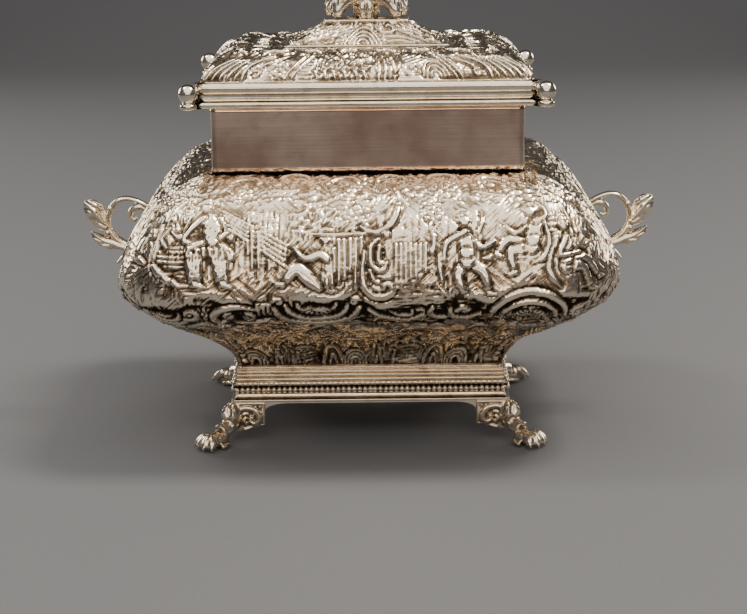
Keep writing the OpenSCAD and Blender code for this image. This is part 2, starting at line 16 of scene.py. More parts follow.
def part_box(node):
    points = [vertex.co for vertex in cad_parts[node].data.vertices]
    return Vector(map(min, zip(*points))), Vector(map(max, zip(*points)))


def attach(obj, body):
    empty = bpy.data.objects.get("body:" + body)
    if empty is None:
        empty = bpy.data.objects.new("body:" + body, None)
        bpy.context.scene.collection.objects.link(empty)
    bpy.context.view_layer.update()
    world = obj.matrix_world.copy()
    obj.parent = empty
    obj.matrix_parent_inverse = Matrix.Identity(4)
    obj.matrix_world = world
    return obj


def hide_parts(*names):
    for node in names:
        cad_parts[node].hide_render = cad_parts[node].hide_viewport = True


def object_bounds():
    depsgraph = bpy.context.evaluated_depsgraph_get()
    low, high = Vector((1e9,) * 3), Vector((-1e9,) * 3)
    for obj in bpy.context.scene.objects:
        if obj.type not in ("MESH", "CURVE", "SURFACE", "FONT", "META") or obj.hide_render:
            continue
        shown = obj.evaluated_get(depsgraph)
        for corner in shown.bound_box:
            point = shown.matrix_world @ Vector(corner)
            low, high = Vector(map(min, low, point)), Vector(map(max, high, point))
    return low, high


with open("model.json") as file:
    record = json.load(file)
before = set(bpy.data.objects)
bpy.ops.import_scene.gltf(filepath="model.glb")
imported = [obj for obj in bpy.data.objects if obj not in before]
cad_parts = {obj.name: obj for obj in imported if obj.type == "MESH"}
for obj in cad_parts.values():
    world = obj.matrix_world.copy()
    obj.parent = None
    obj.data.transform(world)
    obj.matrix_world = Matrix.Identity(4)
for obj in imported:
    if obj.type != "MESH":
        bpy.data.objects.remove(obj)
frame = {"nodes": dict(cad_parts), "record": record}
CAD_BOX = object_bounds()

MM = 0.001               # one millimetre, in metres
WALL = 1.2               # thickness of the bowl's, neck's and flange's sheet


def cad(node):
    """A node's lowest and highest corners, in millimetres."""
    low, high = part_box(node)
    return np.array(low) / MM, np.array(high) / MM


# ------------------------------------------------------------------ sizes from the frame

BOWL_LOW, BOWL_HIGH = cad("bowl_shell")
WAIST_LOW = cad("waist_band")[0]
STEP_LOW, STEP_HIGH = cad("foot_step")
BEAD_LOW, BEAD_HIGH = cad("bead_strip")
PLINTH_LOW, PLINTH_HIGH = cad("plinth_band")
NECK_LOW, NECK_HIGH = cad("neck_collar")
FLANGE_LOW, FLANGE_HIGH = cad("flange_plate")
RIM_LOW, RIM_HIGH = cad("lid_rim")
BEZEL_HIGH = cad("lid_bezel")[1]
LOWER_LOW, LOWER_HIGH = cad("lid_lower_tier")
UPPER_LOW, UPPER_HIGH = cad("lid_upper_tier")
BALL_LOW, BALL_HIGH = cad("corner_ball_back_right")
HANDLE_LOW, HANDLE_HIGH = cad("handle_right")
TOP_Z = CAD_BOX[1][2] / MM

Z_BODY = WAIST_LOW[2]
Z_BOWL = BOWL_LOW[2]
Z_NECK = BOWL_HIGH[2]
PEAK_H = 29.7           # height of the widest line above the foot of the body
Z_PEAK = Z_BODY + PEAK_H
BELLY_HW, BELLY_HD = BOWL_HIGH[0], BOWL_HIGH[1]
NECK_HW, NECK_HD = NECK_HIGH[0], NECK_HIGH[1]
WAIST_HW, WAIST_HD = 39.6, 28.8     # half width and depth at the foot of the body
BELLY_CORNER = 24.0     # plan corner radius at the widest line
SHARP = 0.8             # plan corner radius at the foot, and of the tiers
NECK_CORNER = 2.0       # plan corner radius of the neck
RELIEF = 0.85           # depth of the chasing under the CAD surface


# ------------------------------------------------------------------ curves and surfaces

def cubic(a, b, c, d, t):
    """A cubic curve from a to d, drawn towards b and c."""
    return a * (1 - t) ** 3 + 3 * b * t * (1 - t) ** 2 + 3 * c * t * t * (1 - t) + d * t ** 3


def mix(a, b, f):
    """Part of the way, f, from a to b."""
    return a + (b - a) * f


def smooth_step(low, high, x):
    """0 below low, 1 above high, and a smooth S between them."""
    t = np.clip((x - low) / (high - low), 0, 1)
    return t * t * (3 - 2 * t)


def spline(points, per_span=8):
    """Points along a Catmull-Rom curve through the given ones; any number of coordinates."""
    p = np.array(points, float)
    if len(p) < 3:
        t = np.linspace(0, 1, per_span + 1)[:, None]
        return p[0] * (1 - t) + p[-1] * t
    p = np.vstack([2 * p[0] - p[1], p, 2 * p[-1] - p[-2]])
    out = []
    for i in range(1, len(p) - 2):
        t = np.linspace(0, 1, per_span, endpoint=False)[:, None]
        a, b, c, d = p[i - 1], p[i], p[i + 1], p[i + 2]
        out.append(0.5 * (2 * b + (c - a) * t + (2 * a - 5 * b + 4 * c - d) * t ** 2
                          + (3 * b - a - 3 * c + d) * t ** 3))
    out.append(p[-2][None, :])
    return np.vstack(out)


class Sheet:
    """A surface wound round the box: rows climb its section, columns go round its plan.

    s is the distance round the plan from the middle of the front, measured on the reference
    ring; v is the distance up the section."""

    def __init__(self, section, reference, cell, v_range=None):
        hw, hd, r, z = [np.asarray(a, float) for a in section]
        length = np.concatenate([[0], np.cumsum(np.hypot(np.diff(0.5 * (hw + hd)), np.diff(z)))])
        low, high = v_range or (0, length[-1])
        rows = max(int(round((high - low) / cell)), 4) + 1
        self.v = np.linspace(low, high, rows)
        hw, hd, r, z = [np.interp(self.v, length, a) for a in (hw, hd, r, z)]
        self.ring = (hw, hd, r, z)
        ref_hw, ref_hd, ref_r = reference
        self.flat_w = ref_hw - ref_r
        self.flat_d = ref_hd - ref_r
        self.arc = ref_r * math.pi / 2
        self.quarter = self.flat_w + self.arc + self.flat_d
        self.round = 4 * self.quarter
        cols = int(round(self.round / cell / 4)) * 4
        self.s = (np.arange(cols) / cols - 0.5) * self.round
        self.points = self.place(hw, hd, r, z)
        along = np.roll(self.points, -1, 1) - np.roll(self.points, 1, 1)
        up = np.gradient(self.points, axis=0)
        normal = np.cross(along, up)
        self.normals = normal / np.maximum(np.linalg.norm(normal, axis=2, keepdims=True), 1e-9)
        step = np.linalg.norm(along, axis=2) / 2
        self.stretch = np.clip(step / (self.round / cols), 0.05, 2)

    def place(self, hw, hd, r, z):
        """Positions for each row's ring and each column."""
        hw, hd, r = hw[:, None], hd[:, None], r[:, None]
        s = np.abs(self.s)
        back = s > 2 * self.quarter - s
        s = np.where(back, 2 * self.quarter - s, s)[None, :]
        turn = np.clip((s - self.flat_w) / self.arc, 0, 1) * math.pi / 2
        x = np.clip(s / self.flat_w, 0, 1) * (hw - r) + r * np.sin(turn)
        left = np.clip((s - self.flat_w - self.arc) / self.flat_d, 0, 1)
        y = -(hd - r) * (1 - left) - r * np.cos(turn)
        x = x * np.where(self.s < 0, -1, 1)
        y = np.where(back, -y, y)
        return np.stack([x, y, np.broadcast_to(z[:, None], x.shape)], axis=2)


def blur(a, cells):
    """Three box blurs, wrapped round the columns and held at the first and last rows."""
    n = max(int(round(cells)), 1)
    for _ in range(3):
        total = np.zeros_like(a)
        for k in range(-n, n + 1):
            total += np.roll(a, k, 1)
        a = total / (2 * n + 1)
        padded = np.pad(a, ((n, n), (0, 0)), mode="edge")
        total = np.zeros_like(a)
        for k in range(2 * n + 1):
            total += padded[k:k + a.shape[0]]
        a = total / (2 * n + 1)
    return a


class Relief:
    """Chased relief on a sheet: h is its height in millimetres, painted back to front."""

    def __init__(self, sheet, seed=1):
        self.sheet = sheet
        self.h = np.zeros((len(sheet.v), len(sheet.s)))
        self.age = 0.5      # how much patina the recesses hold
        self.random = np.random.default_rng(seed)
        self.cell = sheet.v[1] - sheet.v[0]
        self.full = 0.7     # how blunt a raised form is: 0.5 is round, 1 is a flat cone
        uneven = self.soft_noise(2.2)
        self.cut = np.clip(0.75 + 0.45 * uneven, 0.25, 1.3)
        self.at(0, 0)

    def soft_noise(self, size):
        """Smooth noise with a spread of about 1 and dents about so many millimetres wide."""
        soft = blur(self.random.normal(size=self.h.shape), size / self.cell / 2)
        return soft / soft.std()

    def undulate(self, size, amount):
        """Adds slow dents, size wide and about so high."""
        self.h += self.soft_noise(size) * amount

    def at(self, s, v, size=1.0, flip=False):
        """Sets where the drawing's origin lies; flip mirrors it left to right."""
        self.s0, self.v0, self.size = s, v, size
        self.side = -1 if flip else 1
        return self

    def window(self, low, high):
        """Cells inside a drawing-space box, with their drawing-space coordinates."""
        middle = (low[0] + high[0]) / 2
        gap = self.sheet.s - self.s0 - self.side * self.size * middle
        gap = (gap + self.sheet.round / 2) % self.sheet.round - self.sheet.round / 2
        x = middle + self.side * gap / self.size
        y = (self.sheet.v - self.v0) / self.size
        cols = np.nonzero((x > low[0]) & (x < high[0]))[0]
        rows = np.nonzero((y > low[1]) & (y < high[1]))[0]
        if not len(cols) or not len(rows):
            return None
        return np.ix_(rows, cols), x[cols][None, :], y[rows][:, None]

    def raise_shape(self, cells, inside, edge, height, groove, width, base=0.0):
        """Cuts an outline round a shape and domes its inside; edge is mm outside its rim."""
        old = self.h[cells]
        fade = np.exp(-(np.maximum(edge, 0) / width) ** 2)
        cut = mix(old, -groove * self.cut[cells], fade) if groove else old
        dome = base + height * np.clip(1 - inside ** 2, 0, 1) ** self.full
        self.h[cells] = np.where(inside < 1, np.maximum(dome, np.minimum(cut, dome)), cut)

    def stroke(self, points, radii, height=0.8, groove=0.35, width=0.45, per_span=8, base=0.0):
        """A rounded strand along a curve; radii is one radius or one for each point."""
        radii = np.broadcast_to(np.asarray(radii, float), (len(points),))
        line = spline([(p[0], p[1], r) for p, r in zip(points, radii)], per_span)
        r = np.maximum(line[:, 2], 0.05)
        room = r.max() + 3 * width
        found = self.window(line[:, :2].min(0) - room, line[:, :2].max(0) + room)
        if found is None:
            return
        cells, x, y = found
        edge = np.full((y.shape[0], x.shape[1]), 1e3)
        inside = np.full(edge.shape, 1e3)
        for (a, b, ra, rb) in zip(line[:-1, :2], line[1:, :2], r[:-1], r[1:]):
            d = b - a
            t = np.clip(((x - a[0]) * d[0] + (y - a[1]) * d[1]) / max(d @ d, 1e-9), 0, 1)
            gap = np.hypot(x - a[0] - t * d[0], y - a[1] - t * d[1])
            here = ra + (rb - ra) * t
            inside = np.minimum(inside, gap / here)
            edge = np.minimum(edge, gap - here)
        self.raise_shape(cells, inside, edge, height, groove, width, base)

    def blob(self, x, y, rx, ry, angle=0, height=0.8, groove=0.35, width=0.45, base=0.0):
        """An oval dome."""
        room = max(rx, ry) + 3 * width
        found = self.window((x - room, y - room), (x + room, y + room))
        if found is None:
            return
        cells, gx, gy = found
        c, s = math.cos(math.radians(angle)), math.sin(math.radians(angle))
        u = ((gx - x) * c + (gy - y) * s) / rx
        w = (-(gx - x) * s + (gy - y) * c) / ry
        inside = np.hypot(u, w)
        self.raise_shape(cells, inside, (inside - 1) * min(rx, ry), height, groove, width, base)

    def lines(self, low, high, angle, pitch, depth, soft=1.5):
        """Even chased lines over a box with faded edges; angle is the lines' own direction."""
        found = self.window(low, high)
        if found is None:
            return
        cells, x, y = found
        a = math.radians(angle)
        across = -x * math.sin(a) + y * math.cos(a)
        fade = np.minimum.reduce([np.broadcast_to(b, self.h[cells].shape) for b in
                                  (x - low[0], high[0] - x, y - low[1], high[1] - y)])
        fade = np.clip(fade / soft, 0, 1)
        wave = np.abs(np.sin(math.pi * across / pitch)) - 0.6
        self.h[cells] += depth * fade * wave

    def stipple(self, low, high, spacing, size, height, groove=0.15):
        """Close, uneven bumps over a box, such as leaves and bushes."""
        width = high[0] - low[0]
        count = int(width * (high[1] - low[1]) / spacing ** 2)
        xs = self.random.uniform(low[0], high[0], count)
        ys = self.random.uniform(low[1], high[1], count)
        turns = self.random.uniform(0, 180, count)
        sizes = self.random.uniform(0.6, 1.25, count) * size
        tall = self.random.uniform(0.5, 1.0, count) * height
        for x, y, turn, r, top in zip(xs, ys, turns, sizes, tall):
            row = np.clip(np.searchsorted(self.sheet.v, self.v0 + y), 0, len(self.sheet.v) - 1)
            s = self.s0 + self.side * self.size * x
            turned = (s / self.sheet.round + 0.5) % 1
            narrow = self.sheet.stretch[row, int(turned * (len(self.sheet.s) - 1))]
            self.blob(x, y, r / max(narrow, 0.25), r * 0.65, turn if narrow > 0.7 else 0,
                      top, groove, 0.25)

    def volute(self, x, y, radius, turns=1.4, start=0, spin=1, thick=0.9, height=0.8, tail=()):
        """A strand that curls into an eye; tail points lead into it."""
        points = list(tail)
        radii = [thick * 0.8] * len(points)
        steps = int(turns * 8)
        for i in range(steps + 1):
            t = i / steps
            a = math.radians(start + spin * 360 * turns * t)
            r = radius * (1 - 0.82 * t)
            points.append((x + r * math.cos(a), y + r * math.sin(a)))
            radii.append(thick * mix(1, 0.55, t))
        self.stroke(points, radii, height, per_span=4)
        self.blob(x, y, thick * 0.8, thick * 0.8, 0, height, 0.2, 0.3)

    def leaf(self, x, y, length, angle, width=1.4, lobes=4, height=0.7, bend=0.25):
        """A curled leaf: paired lobes along a raised spine."""
        a = math.radians(angle)
        along = np.array([math.cos(a), math.sin(a)])
        side = np.array([-along[1], along[0]])
        start = np.array([x, y], float)

        def spine(t):
            return start + along * length * t + side * length * bend * math.sin(math.pi * t * 0.5)

        for i in range(lobes):
            t = (i + 0.6) / lobes
            root = spine(t * 0.85)
            reach = width * (1.25 - 0.8 * t)
            for turn in (-1, 1):
                tip = root + along * reach * 0.9 + side * turn * reach
                middle = root + along * reach * 0.25 + side * turn * reach * 0.65
                self.stroke([root, middle, tip], [width * 0.28, width * 0.36, width * 0.12],
                            height * 0.8, 0.25, 0.3, 3)
        self.stroke([spine(t) for t in (0, 0.35, 0.7, 1)],
                    [width * 0.3, width * 0.3, width * 0.22, width * 0.1], height, 0.15, 0.3, 5)

    def figure(self, pose, girth=1.0, child=True, height=0.85):
        """A small generic person. pose names the joints' places; limbs fit between them."""
        leg, arm = 1.35 * girth, 0.9 * girth
        head = 2.1 if child else 1.5

        def limb(names, radii, top):
            self.stroke([pose[n] for n in names], radii, top, 0.45, 0.45, 6)

        for side in ("far", "near"):
            top = height * (0.75 if side == "far" else 1)
            if side + "_foot" in pose:
                limb(["hip", side + "_knee", side + "_foot"],
                     [leg * 1.25, leg * 1.0, leg * 0.6], top)
                foot = pose[side + "_foot"]
                toe = pose.get(side + "_toe", (foot[0] + 1.6, foot[1] - 0.3))
                self.stroke([foot, toe], [leg * 0.6, leg * 0.4], top, 0.4, 0.4, 3)
            if side == "far" and "far_hand" in pose:
                limb(["neck", "far_elbow", "far_hand"], [arm, arm * 0.95, arm * 0.6], top)
        chest, hip = np.array(pose["neck"]), np.array(pose["hip"])
        belly = mix(chest, hip, 0.72)
        self.stroke([chest, mix(chest, hip, 0.4), hip], np.array([1.5, 2.1, 2.0]) * girth,
                    height, 0.5, 0.5, 6)
        if child:
            self.blob(belly[0], belly[1], 2.1 * girth, 1.9 * girth, 0, height * 1.12, 0.1, 0.3)
        if "near_hand" in pose:
            limb(["neck", "near_elbow", "near_hand"], [arm * 1.15, arm, arm * 0.65], height)
        x, y = pose["head"]
        self.blob(x, y, head * 0.9, head, 0, height * 1.15, 0.5, 0.5)
        for i in range(9):
            a = math.radians(-10 + 25 * i)
            self.blob(x + head * 0.85 * math.cos(a), y + head * 0.9 * math.sin(a) + 0.25,
                      head * 0.3, head * 0.3, 0, height * 1.1, 0.1, 0.2)

    def tool_ground(self, depth):
        """Short chasing marks in the ground, running level, upright or slanted by turns."""
        marks = []
        for rows, cols, slant in ((0, 2, 0), (2, 0, 0), (2, 0, 1), (2, 0, -1)):
            field = self.random.normal(size=self.h.shape)
            total = np.zeros_like(field)
            for k in range(-3, 4):
                total += np.roll(np.roll(field, k * (rows > 0), 0), k * (cols > 0) + k * slant, 1)
            marks.append(total / total.std())
        choice = self.soft_noise(5.0)
        picked = np.select([choice < -0.7, choice < 0.0, choice < 0.7], marks[:3], marks[3])
        ground = 1 - 0.55 * smooth_step(0.15, 0.5, self.h)
        self.h += picked * depth * ground + self.soft_noise(1.4) * 0.05

    def eased(self, low, top):
        """The height kept between two limits, easing into the upper one so forms stay round."""
        start = 0.5 * top
        room = top - start
        over = np.maximum(self.h - start, 0)
        return np.maximum(np.minimum(self.h, start) + room * (1 - np.exp(-over / room)), low)

    def cavity(self, cell):
        """How deep each place lies in its surroundings, 0 to 1: patina stays there."""
        near = blur(self.h, 0.8 / cell) - self.h
        wide = blur(self.h, 2.2 / cell) - self.h
        return np.clip(near * 3.2 + wide * 1.2 + 0.05, 0, 1) * self.age


# ------------------------------------------------------------------ meshes

def make_object(name, verts, faces, smooth=True):
    """A mesh object from points in millimetres."""
    mesh = bpy.data.meshes.new(name)
    mesh.from_pydata((np.asarray(verts, float) * MM).tolist(), [], faces)
    mesh.validate()
    mesh.update()
    mesh.polygons.foreach_set("use_smooth", [smooth] * len(mesh.polygons))
    obj = bpy.data.objects.new(name, mesh)
    bpy.context.scene.collection.objects.link(obj)
    return obj


def grid_faces(rows, cols, wrap=True, start=0):
    """Quads of a grid whose columns wrap round, facing out when rows climb and columns turn
    to the viewer's right."""
    j = np.arange(rows - 1)[:, None] * cols
    i = np.arange(cols if wrap else cols - 1)[None, :]
    k = (i + 1) % cols
    quads = np.stack([j + i, j + k, j + cols + k, j + cols + i], axis=2).reshape(-1, 4) + start
    return quads.tolist()


def tint(obj, values):
    """Stores per-point values, 0 to 1, as the attribute "patina" that materials read."""
    layer = obj.data.attributes.new("patina", "FLOAT_COLOR", "POINT")
    colour = np.ones((len(obj.data.vertices), 4), dtype=np.float32)
    n = min(len(values), len(colour))
    colour[:n, :3] = np.asarray(values, np.float32).reshape(-1, 1)[:n]
    colour[n:, :3] = 0.15
    layer.data.foreach_set("color", colour.ravel())


def relief_band(name, sheet, relief, cell, rows, inner_rows, close_floor=False):
    """A shell with relief outside and a smooth inside, from some rows of a sheet.

    inner_rows are rings of points, listed down the inside."""
    outside = sheet.points[rows] + sheet.normals[rows] * (relief.h[rows] - RELIEF)[..., None]
    cols = outside.shape[1]
    inside = np.array(inner_rows)
    verts = np.concatenate([outside, inside]).reshape(-1, 3)
    count = len(outside) + len(inside)
    faces = grid_faces(count, cols)
    last = (count - 1) * cols
    if close_floor:
        # The floor inside and the underside are closed with a middle point each.
        verts = np.vstack([verts, inside[-1].mean(0), outside[0].mean(0)])
        middle = len(verts) - 2
        for i in range(cols):
            k = (i + 1) % cols
            faces.append([last + i, last + k, middle])
            faces.append([k, i, middle + 1])
    else:
        for i in range(cols):
            k = (i + 1) % cols
            faces.append([last + i, last + k, k, i])
    obj = make_object(name, verts, faces)
    tint(obj, relief.cavity(cell)[rows].ravel())
    return obj


# ------------------------------------------------------------------ materials

def node(tree, kind, **settings):
    """A new shader node; a setting whose name starts with _ is an input's value."""
    made = tree.nodes.new(kind)
    for key, value in settings.items():
        if key.startswith("_"):
            made.inputs[key[1:].replace("_", " ")].default_value = value
        else:
            setattr(made, key, value)
    return made


def blend_colour(tree, factor, a, b):
    """Mixes two colours; a and b are sockets or (r, g, b)."""
    made = node(tree, "ShaderNodeMix", data_type="RGBA")
    pick = [s for s in made.inputs if s.enabled]
    for socket, value in zip(pick, (factor, a, b)):
        if isinstance(value, bpy.types.NodeSocket):
            tree.links.new(value, socket)
        elif isinstance(value, (int, float)):
            socket.default_value = value
        else:
            socket.default_value = (*value, 1)
    return [s for s in made.outputs if s.enabled][0]


def ramp(tree, value, low, high, a=0.0, b=1.0):
    """Takes a value from low..high to a..b, held at the ends."""
    made = node(tree, "ShaderNodeMapRange", clamp=True)
    tree.links.new(value, made.inputs["Value"])
    made.inputs["From Min"].default_value = low
    made.inputs["From Max"].default_value = high
    made.inputs["To Min"].default_value = a
    made.inputs["To Max"].default_value = b
    return made.outputs["Result"]


def noise(tree, place, scale, detail=4.0, rough=0.55):
    """Cloudy noise in space, with scale in cells for each metre."""
    made = node(tree, "ShaderNodeTexNoise", _Scale=scale, _Detail=detail, _Roughness=rough)
    tree.links.new(place, made.inputs["Vector"])
    return made.outputs["Fac"]


def math_node(tree, kind, a, b):
    """One sum or product; a and b are sockets or numbers."""
    made = node(tree, "ShaderNodeMath", operation=kind)
    for socket, value in zip(made.inputs, (a, b)):
        if isinstance(value, bpy.types.NodeSocket):
            tree.links.new(value, socket)
        else:
            socket.default_value = value
    return made.outputs[0]


def silver(name, bright=(0.95, 0.88, 0.73), warm=(0.80, 0.65, 0.49), recess=(0.030, 0.021, 0.014),
           rough=0.2, patina=False, brushed=0.0, bump=0.12, grain=1400.0, tarnish_and_shade=0.5):
    """Silver with slow blotchy tarnish, painted shade that darkens and warms it low down, fine wear,
    brushing along the level, and dark recesses."""
    material = bpy.data.materials.new(name)
    material.use_nodes = True
    tree = material.node_tree
    shader = tree.nodes["Principled BSDF"]
    shader.inputs["Metallic"].default_value = 1.0
    place = node(tree, "ShaderNodeTexCoord").outputs["Object"]
    slow = noise(tree, place, 45.0, 3.0)
    fine = noise(tree, place, grain, 5.0, 0.65)
    middle = noise(tree, place, 260.0, 4.0)
    apart = node(tree, "ShaderNodeSeparateXYZ")
    tree.links.new(place, apart.inputs["Vector"])
    # Painted shade: below 78 mm the colour turns warmer and darker down to 30 mm, standing in for the
    # shade on the lower parts.
    shade_top, shade_foot = 0.078, 0.030
    painted_low_shade = ramp(tree, apart.outputs["Z"], shade_top, shade_foot, 0.0, 0.5 * tarnish_and_shade)
    # Blotchy tarnish from slow noise, plus the painted shade low down; the tarnish_and_shade argument
    # scales both.
    tarnish_and_shade_mix = math_node(tree, "ADD", ramp(tree, slow, 0.35, 0.72, 0.0, tarnish_and_shade), painted_low_shade)
    colour = blend_colour(tree, tarnish_and_shade_mix, bright, warm)
    colour = blend_colour(tree, ramp(tree, middle, 0.52, 0.75, 0.0, 0.35), colour, warm)
    level = ramp(tree, fine, 0.3, 0.75, rough * 0.75, rough * 1.5)
    level = math_node(tree, "ADD", level, ramp(tree, slow, 0.4, 0.7, 0.0, 0.06))
    height = fine
    if brushed:
        stretch = node(tree, "ShaderNodeMapping")
        stretch.inputs["Scale"].default_value = (12.0, 12.0, 1900.0)
        tree.links.new(place, stretch.inputs["Vector"])
        streak = noise(tree, stretch.outputs["Vector"], 1.0, 3.0, 0.6)
        level = math_node(tree, "ADD", level, ramp(tree, streak, 0.3, 0.7, 0.0, 0.16 * brushed))
        colour = blend_colour(tree, ramp(tree, streak, 0.42, 0.72, 0.0, 0.45 * brushed),
                              colour, (0.42, 0.35, 0.28))
        height = math_node(tree, "ADD", fine, math_node(tree, "MULTIPLY", streak, 2.0 * brushed))
    if patina:
        depth = node(tree, "ShaderNodeAttribute", attribute_name="patina").outputs["Fac"]
        spotty = math_node(tree, "ADD", depth, ramp(tree, middle, 0.3, 0.7, -0.08, 0.10))
        dark = ramp(tree, spotty, 0.08, 0.62)
        brown = ramp(tree, spotty, 0.02, 0.26)
        colour = blend_colour(tree, brown, colour, (0.54, 0.41, 0.27))
        colour = blend_colour(tree, dark, colour, recess)
        level = math_node(tree, "ADD", level, ramp(tree, dark, 0.0, 1.0, 0.0, 0.35))
    tree.links.new(colour, shader.inputs["Base Color"])
    tree.links.new(level, shader.inputs["Roughness"])
    bumped = node(tree, "ShaderNodeBump", _Strength=bump, _Distance=0.0002)
    tree.links.new(height, bumped.inputs["Height"])
    tree.links.new(bumped.outputs["Normal"], shader.inputs["Normal"])
    return material


CHASED = silver("chased_silver", rough=0.16, patina=True, bump=0.10)
CAST = silver("cast_silver", rough=0.18, patina=True, bump=0.14)
PLAIN = silver("polished_silver", rough=0.13, patina=True, bump=0.05, tarnish_and_shade=0.35)
# The neck's dark brown colours and full tarnish amount are a painted dark reflection of the room around
# it, over real brushing.
BRUSHED = silver("brushed_silver", bright=(0.86, 0.66, 0.53), warm=(0.36, 0.22, 0.17), rough=0.11,
                 brushed=0.7, bump=0.05, tarnish_and_shade=1.0)
FITTINGS = silver("plain_fittings", bright=(0.70, 0.67, 0.62), rough=0.3, bump=0.2)
GILT = silver("gilt_lining", bright=(0.86, 0.66, 0.34), warm=(0.74, 0.52, 0.25), rough=0.24)


def finish_piece(obj, material, body, slot, *nodes):
    """Gives a piece its material and its body, and hides the CAD nodes it stands for; slot is not used."""
    obj.data.materials.clear()
    obj.data.materials.append(material)
    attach(obj, body)
    if nodes:
        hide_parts(*nodes)


# ------------------------------------------------------------------ camera, floor and lights

def build_camera():
    """A long lens a little above the box and in front of it, tilted down and barely rolled."""
    place = (1.15, -601.3, 179.4)
    pitch_down, roll = 13.6, -0.6
    data = bpy.data.cameras.new("camera")
    data.sensor_width = 36.0
    data.lens = 96.4
    data.clip_start = 0.01
    camera = bpy.data.objects.new("camera", data)
    bpy.context.scene.collection.objects.link(camera)
    camera.location = Vector(place) * MM
    tilt = Matrix.Rotation(math.radians(90 - pitch_down), 3, "X")
    camera.rotation_euler = (tilt @ Matrix.Rotation(math.radians(roll), 3, "Z")).to_euler()
    bpy.context.scene.camera = camera


def build_stage():
    """A plain grey paper floor that sweeps up into a backdrop behind the box."""
    width, front, back, rise, top = 3000.0, -1500.0, 900.0, 500.0, 2400.0
    section = [(front, 0.0), (0.0, 0.0)]
    section += [(back + rise * math.sin(a), rise * (1 - math.cos(a)))
                for a in np.linspace(0, math.pi / 2, 16)]
    section.append((back + rise, top))
    verts = [(x, y, z) for y, z in section for x in (-width, width)]
    faces = [(2 * i, 2 * i + 1, 2 * i + 3, 2 * i + 2) for i in range(len(section) - 1)]
    floor = make_object("floor", verts, faces)
    paper = bpy.data.materials.new("floor_paper")
    paper.use_nodes = True
    tree = paper.node_tree
    shader = tree.nodes["Principled BSDF"]
    shader.inputs["Roughness"].default_value = 0.7
    place = node(tree, "ShaderNodeTexCoord").outputs["Object"]
    fine = noise(tree, place, 900.0, 3.0)
    tree.links.new(blend_colour(tree, fine, (0.130, 0.137, 0.152), (0.160, 0.167, 0.182)),
                   shader.inputs["Base Color"])
    floor.data.materials.append(paper)


def area_light(name, place, target, size, power, colour):
    """A soft rectangular lamp aimed at a point."""
    data = bpy.data.lights.new(name, "AREA")
    data.shape = "RECTANGLE"
    data.size, data.size_y = size[0] * MM, size[1] * MM
    data.energy = power
    data.color = colour
    lamp = bpy.data.objects.new(name, data)
    bpy.context.scene.collection.objects.link(lamp)
    lamp.location = Vector(place) * MM
    aim = Vector(target) * MM - lamp.location
    lamp.rotation_euler = aim.to_track_quat("-Z", "Y").to_euler()


def build_lights():
    """A wide soft ceiling, two small lamps for the glints, and low lights behind and in front."""
    world = bpy.data.worlds.new("studio")
    bpy.context.scene.world = world
    world.use_nodes = True
    world.node_tree.nodes["Background"].inputs["Color"].default_value = (0.51, 0.51, 0.54, 1)
    world.node_tree.nodes["Background"].inputs["Strength"].default_value = 0.19
    middle = (0, 0, 70)
    area_light("ceiling", (0, -450, 1000), middle, (1600, 1500), 13.5, (1.0, 0.93, 0.84))
    area_light("right_lamp", (380, -40, 850), middle, (220, 220), 6.0, (1.0, 0.91, 0.78))
    area_light("left_lamp", (-420, 60, 760), middle, (180, 180), 1.8, (1.0, 0.92, 0.82))
    area_light("left_back", (-640, 560, 260), middle, (420, 300), 2.4, (1.0, 0.90, 0.78))
    area_light("right_back", (640, 560, 260), middle, (420, 300), 2.4, (1.0, 0.90, 0.78))
    area_light("front", (0, -1100, 380), middle, (1000, 160), 2.0, (1.0, 0.78, 0.60))


# ------------------------------------------------------------------ the chased bowl

CELL = 0.45             # size of one cell of the body's relief


def body_section():
    """Rings of the body from the foot step to the neck: half width, half depth, corner, height.
    A smooth S runs from the foot to the widest line, and a full shoulder from there up."""
    t = np.linspace(0, 1, 200)
    low_z = cubic(Z_BODY, Z_BODY + 14, Z_PEAK - 13, Z_PEAK, t)
    low_out = cubic(0, 0, 1, 1, t)
    high_z = cubic(Z_PEAK, Z_PEAK + 11, Z_NECK - 0.3, Z_NECK, t[1:])
    high_out = cubic(1, 1, 0.54, 0, t[1:])
    out = np.concatenate([low_out, high_out])
    high = np.arange(len(out)) >= len(t)
    hw = mix(np.where(high, NECK_HW, WAIST_HW), BELLY_HW, out)
    hd = mix(np.where(high, NECK_HD, WAIST_HD), BELLY_HD, out)
    r = mix(np.where(high, NECK_CORNER, SHARP), BELLY_CORNER, out ** 1.4)
    return hw, hd, r, np.concatenate([low_z, high_z])


def pair_in_capes(art, s, v, size=1.0, flip=False):
    """Two people standing close, with spread capes."""
    art.at(s, v, size, flip)
    for x, side in ((-3.4, -1), (3.2, 1)):
        art.stroke([(x, 17), (x + side * 2.6, 12), (x + side * 4.2, 7)], [1.6, 1.9, 0.8], 0.6)
        for leg in (-1.0, 1.3):
            art.stroke([(x + leg * 0.7, 10), (x + leg, 5), (x + leg * 1.4, -0.6)],
                       [1.7, 1.5, 0.9], 0.75)
            art.stroke([(x + leg * 1.4, -0.6), (x + leg * 1.4 + side * 1.8, -1.0)], [0.8, 0.5], 0.7)
        for fold in (-1.8, -0.6, 0.6, 1.8):
            art.stroke([(x + fold * 0.6, 15), (x + fold, 8.5)], [0.75, 0.85], 0.7, 0.2, 0.3)
        art.stroke([(x, 19.5), (x, 14.5), (x, 10)], [1.5, 1.9, 2.2], 0.75)
        art.blob(x + side * 0.2, 22.3, 1.5, 1.8, 0, 0.95)
        art.stroke([(x - 2.3, 24), (x, 24.8), (x + 2.3, 24)], [0.4, 0.8, 0.4], 0.9, 0.3, 0.35)
    art.stroke([(-3.0, 18.5), (0.2, 15.2), (2.8, 18.2)], [0.9, 0.8, 0.9], 0.95)


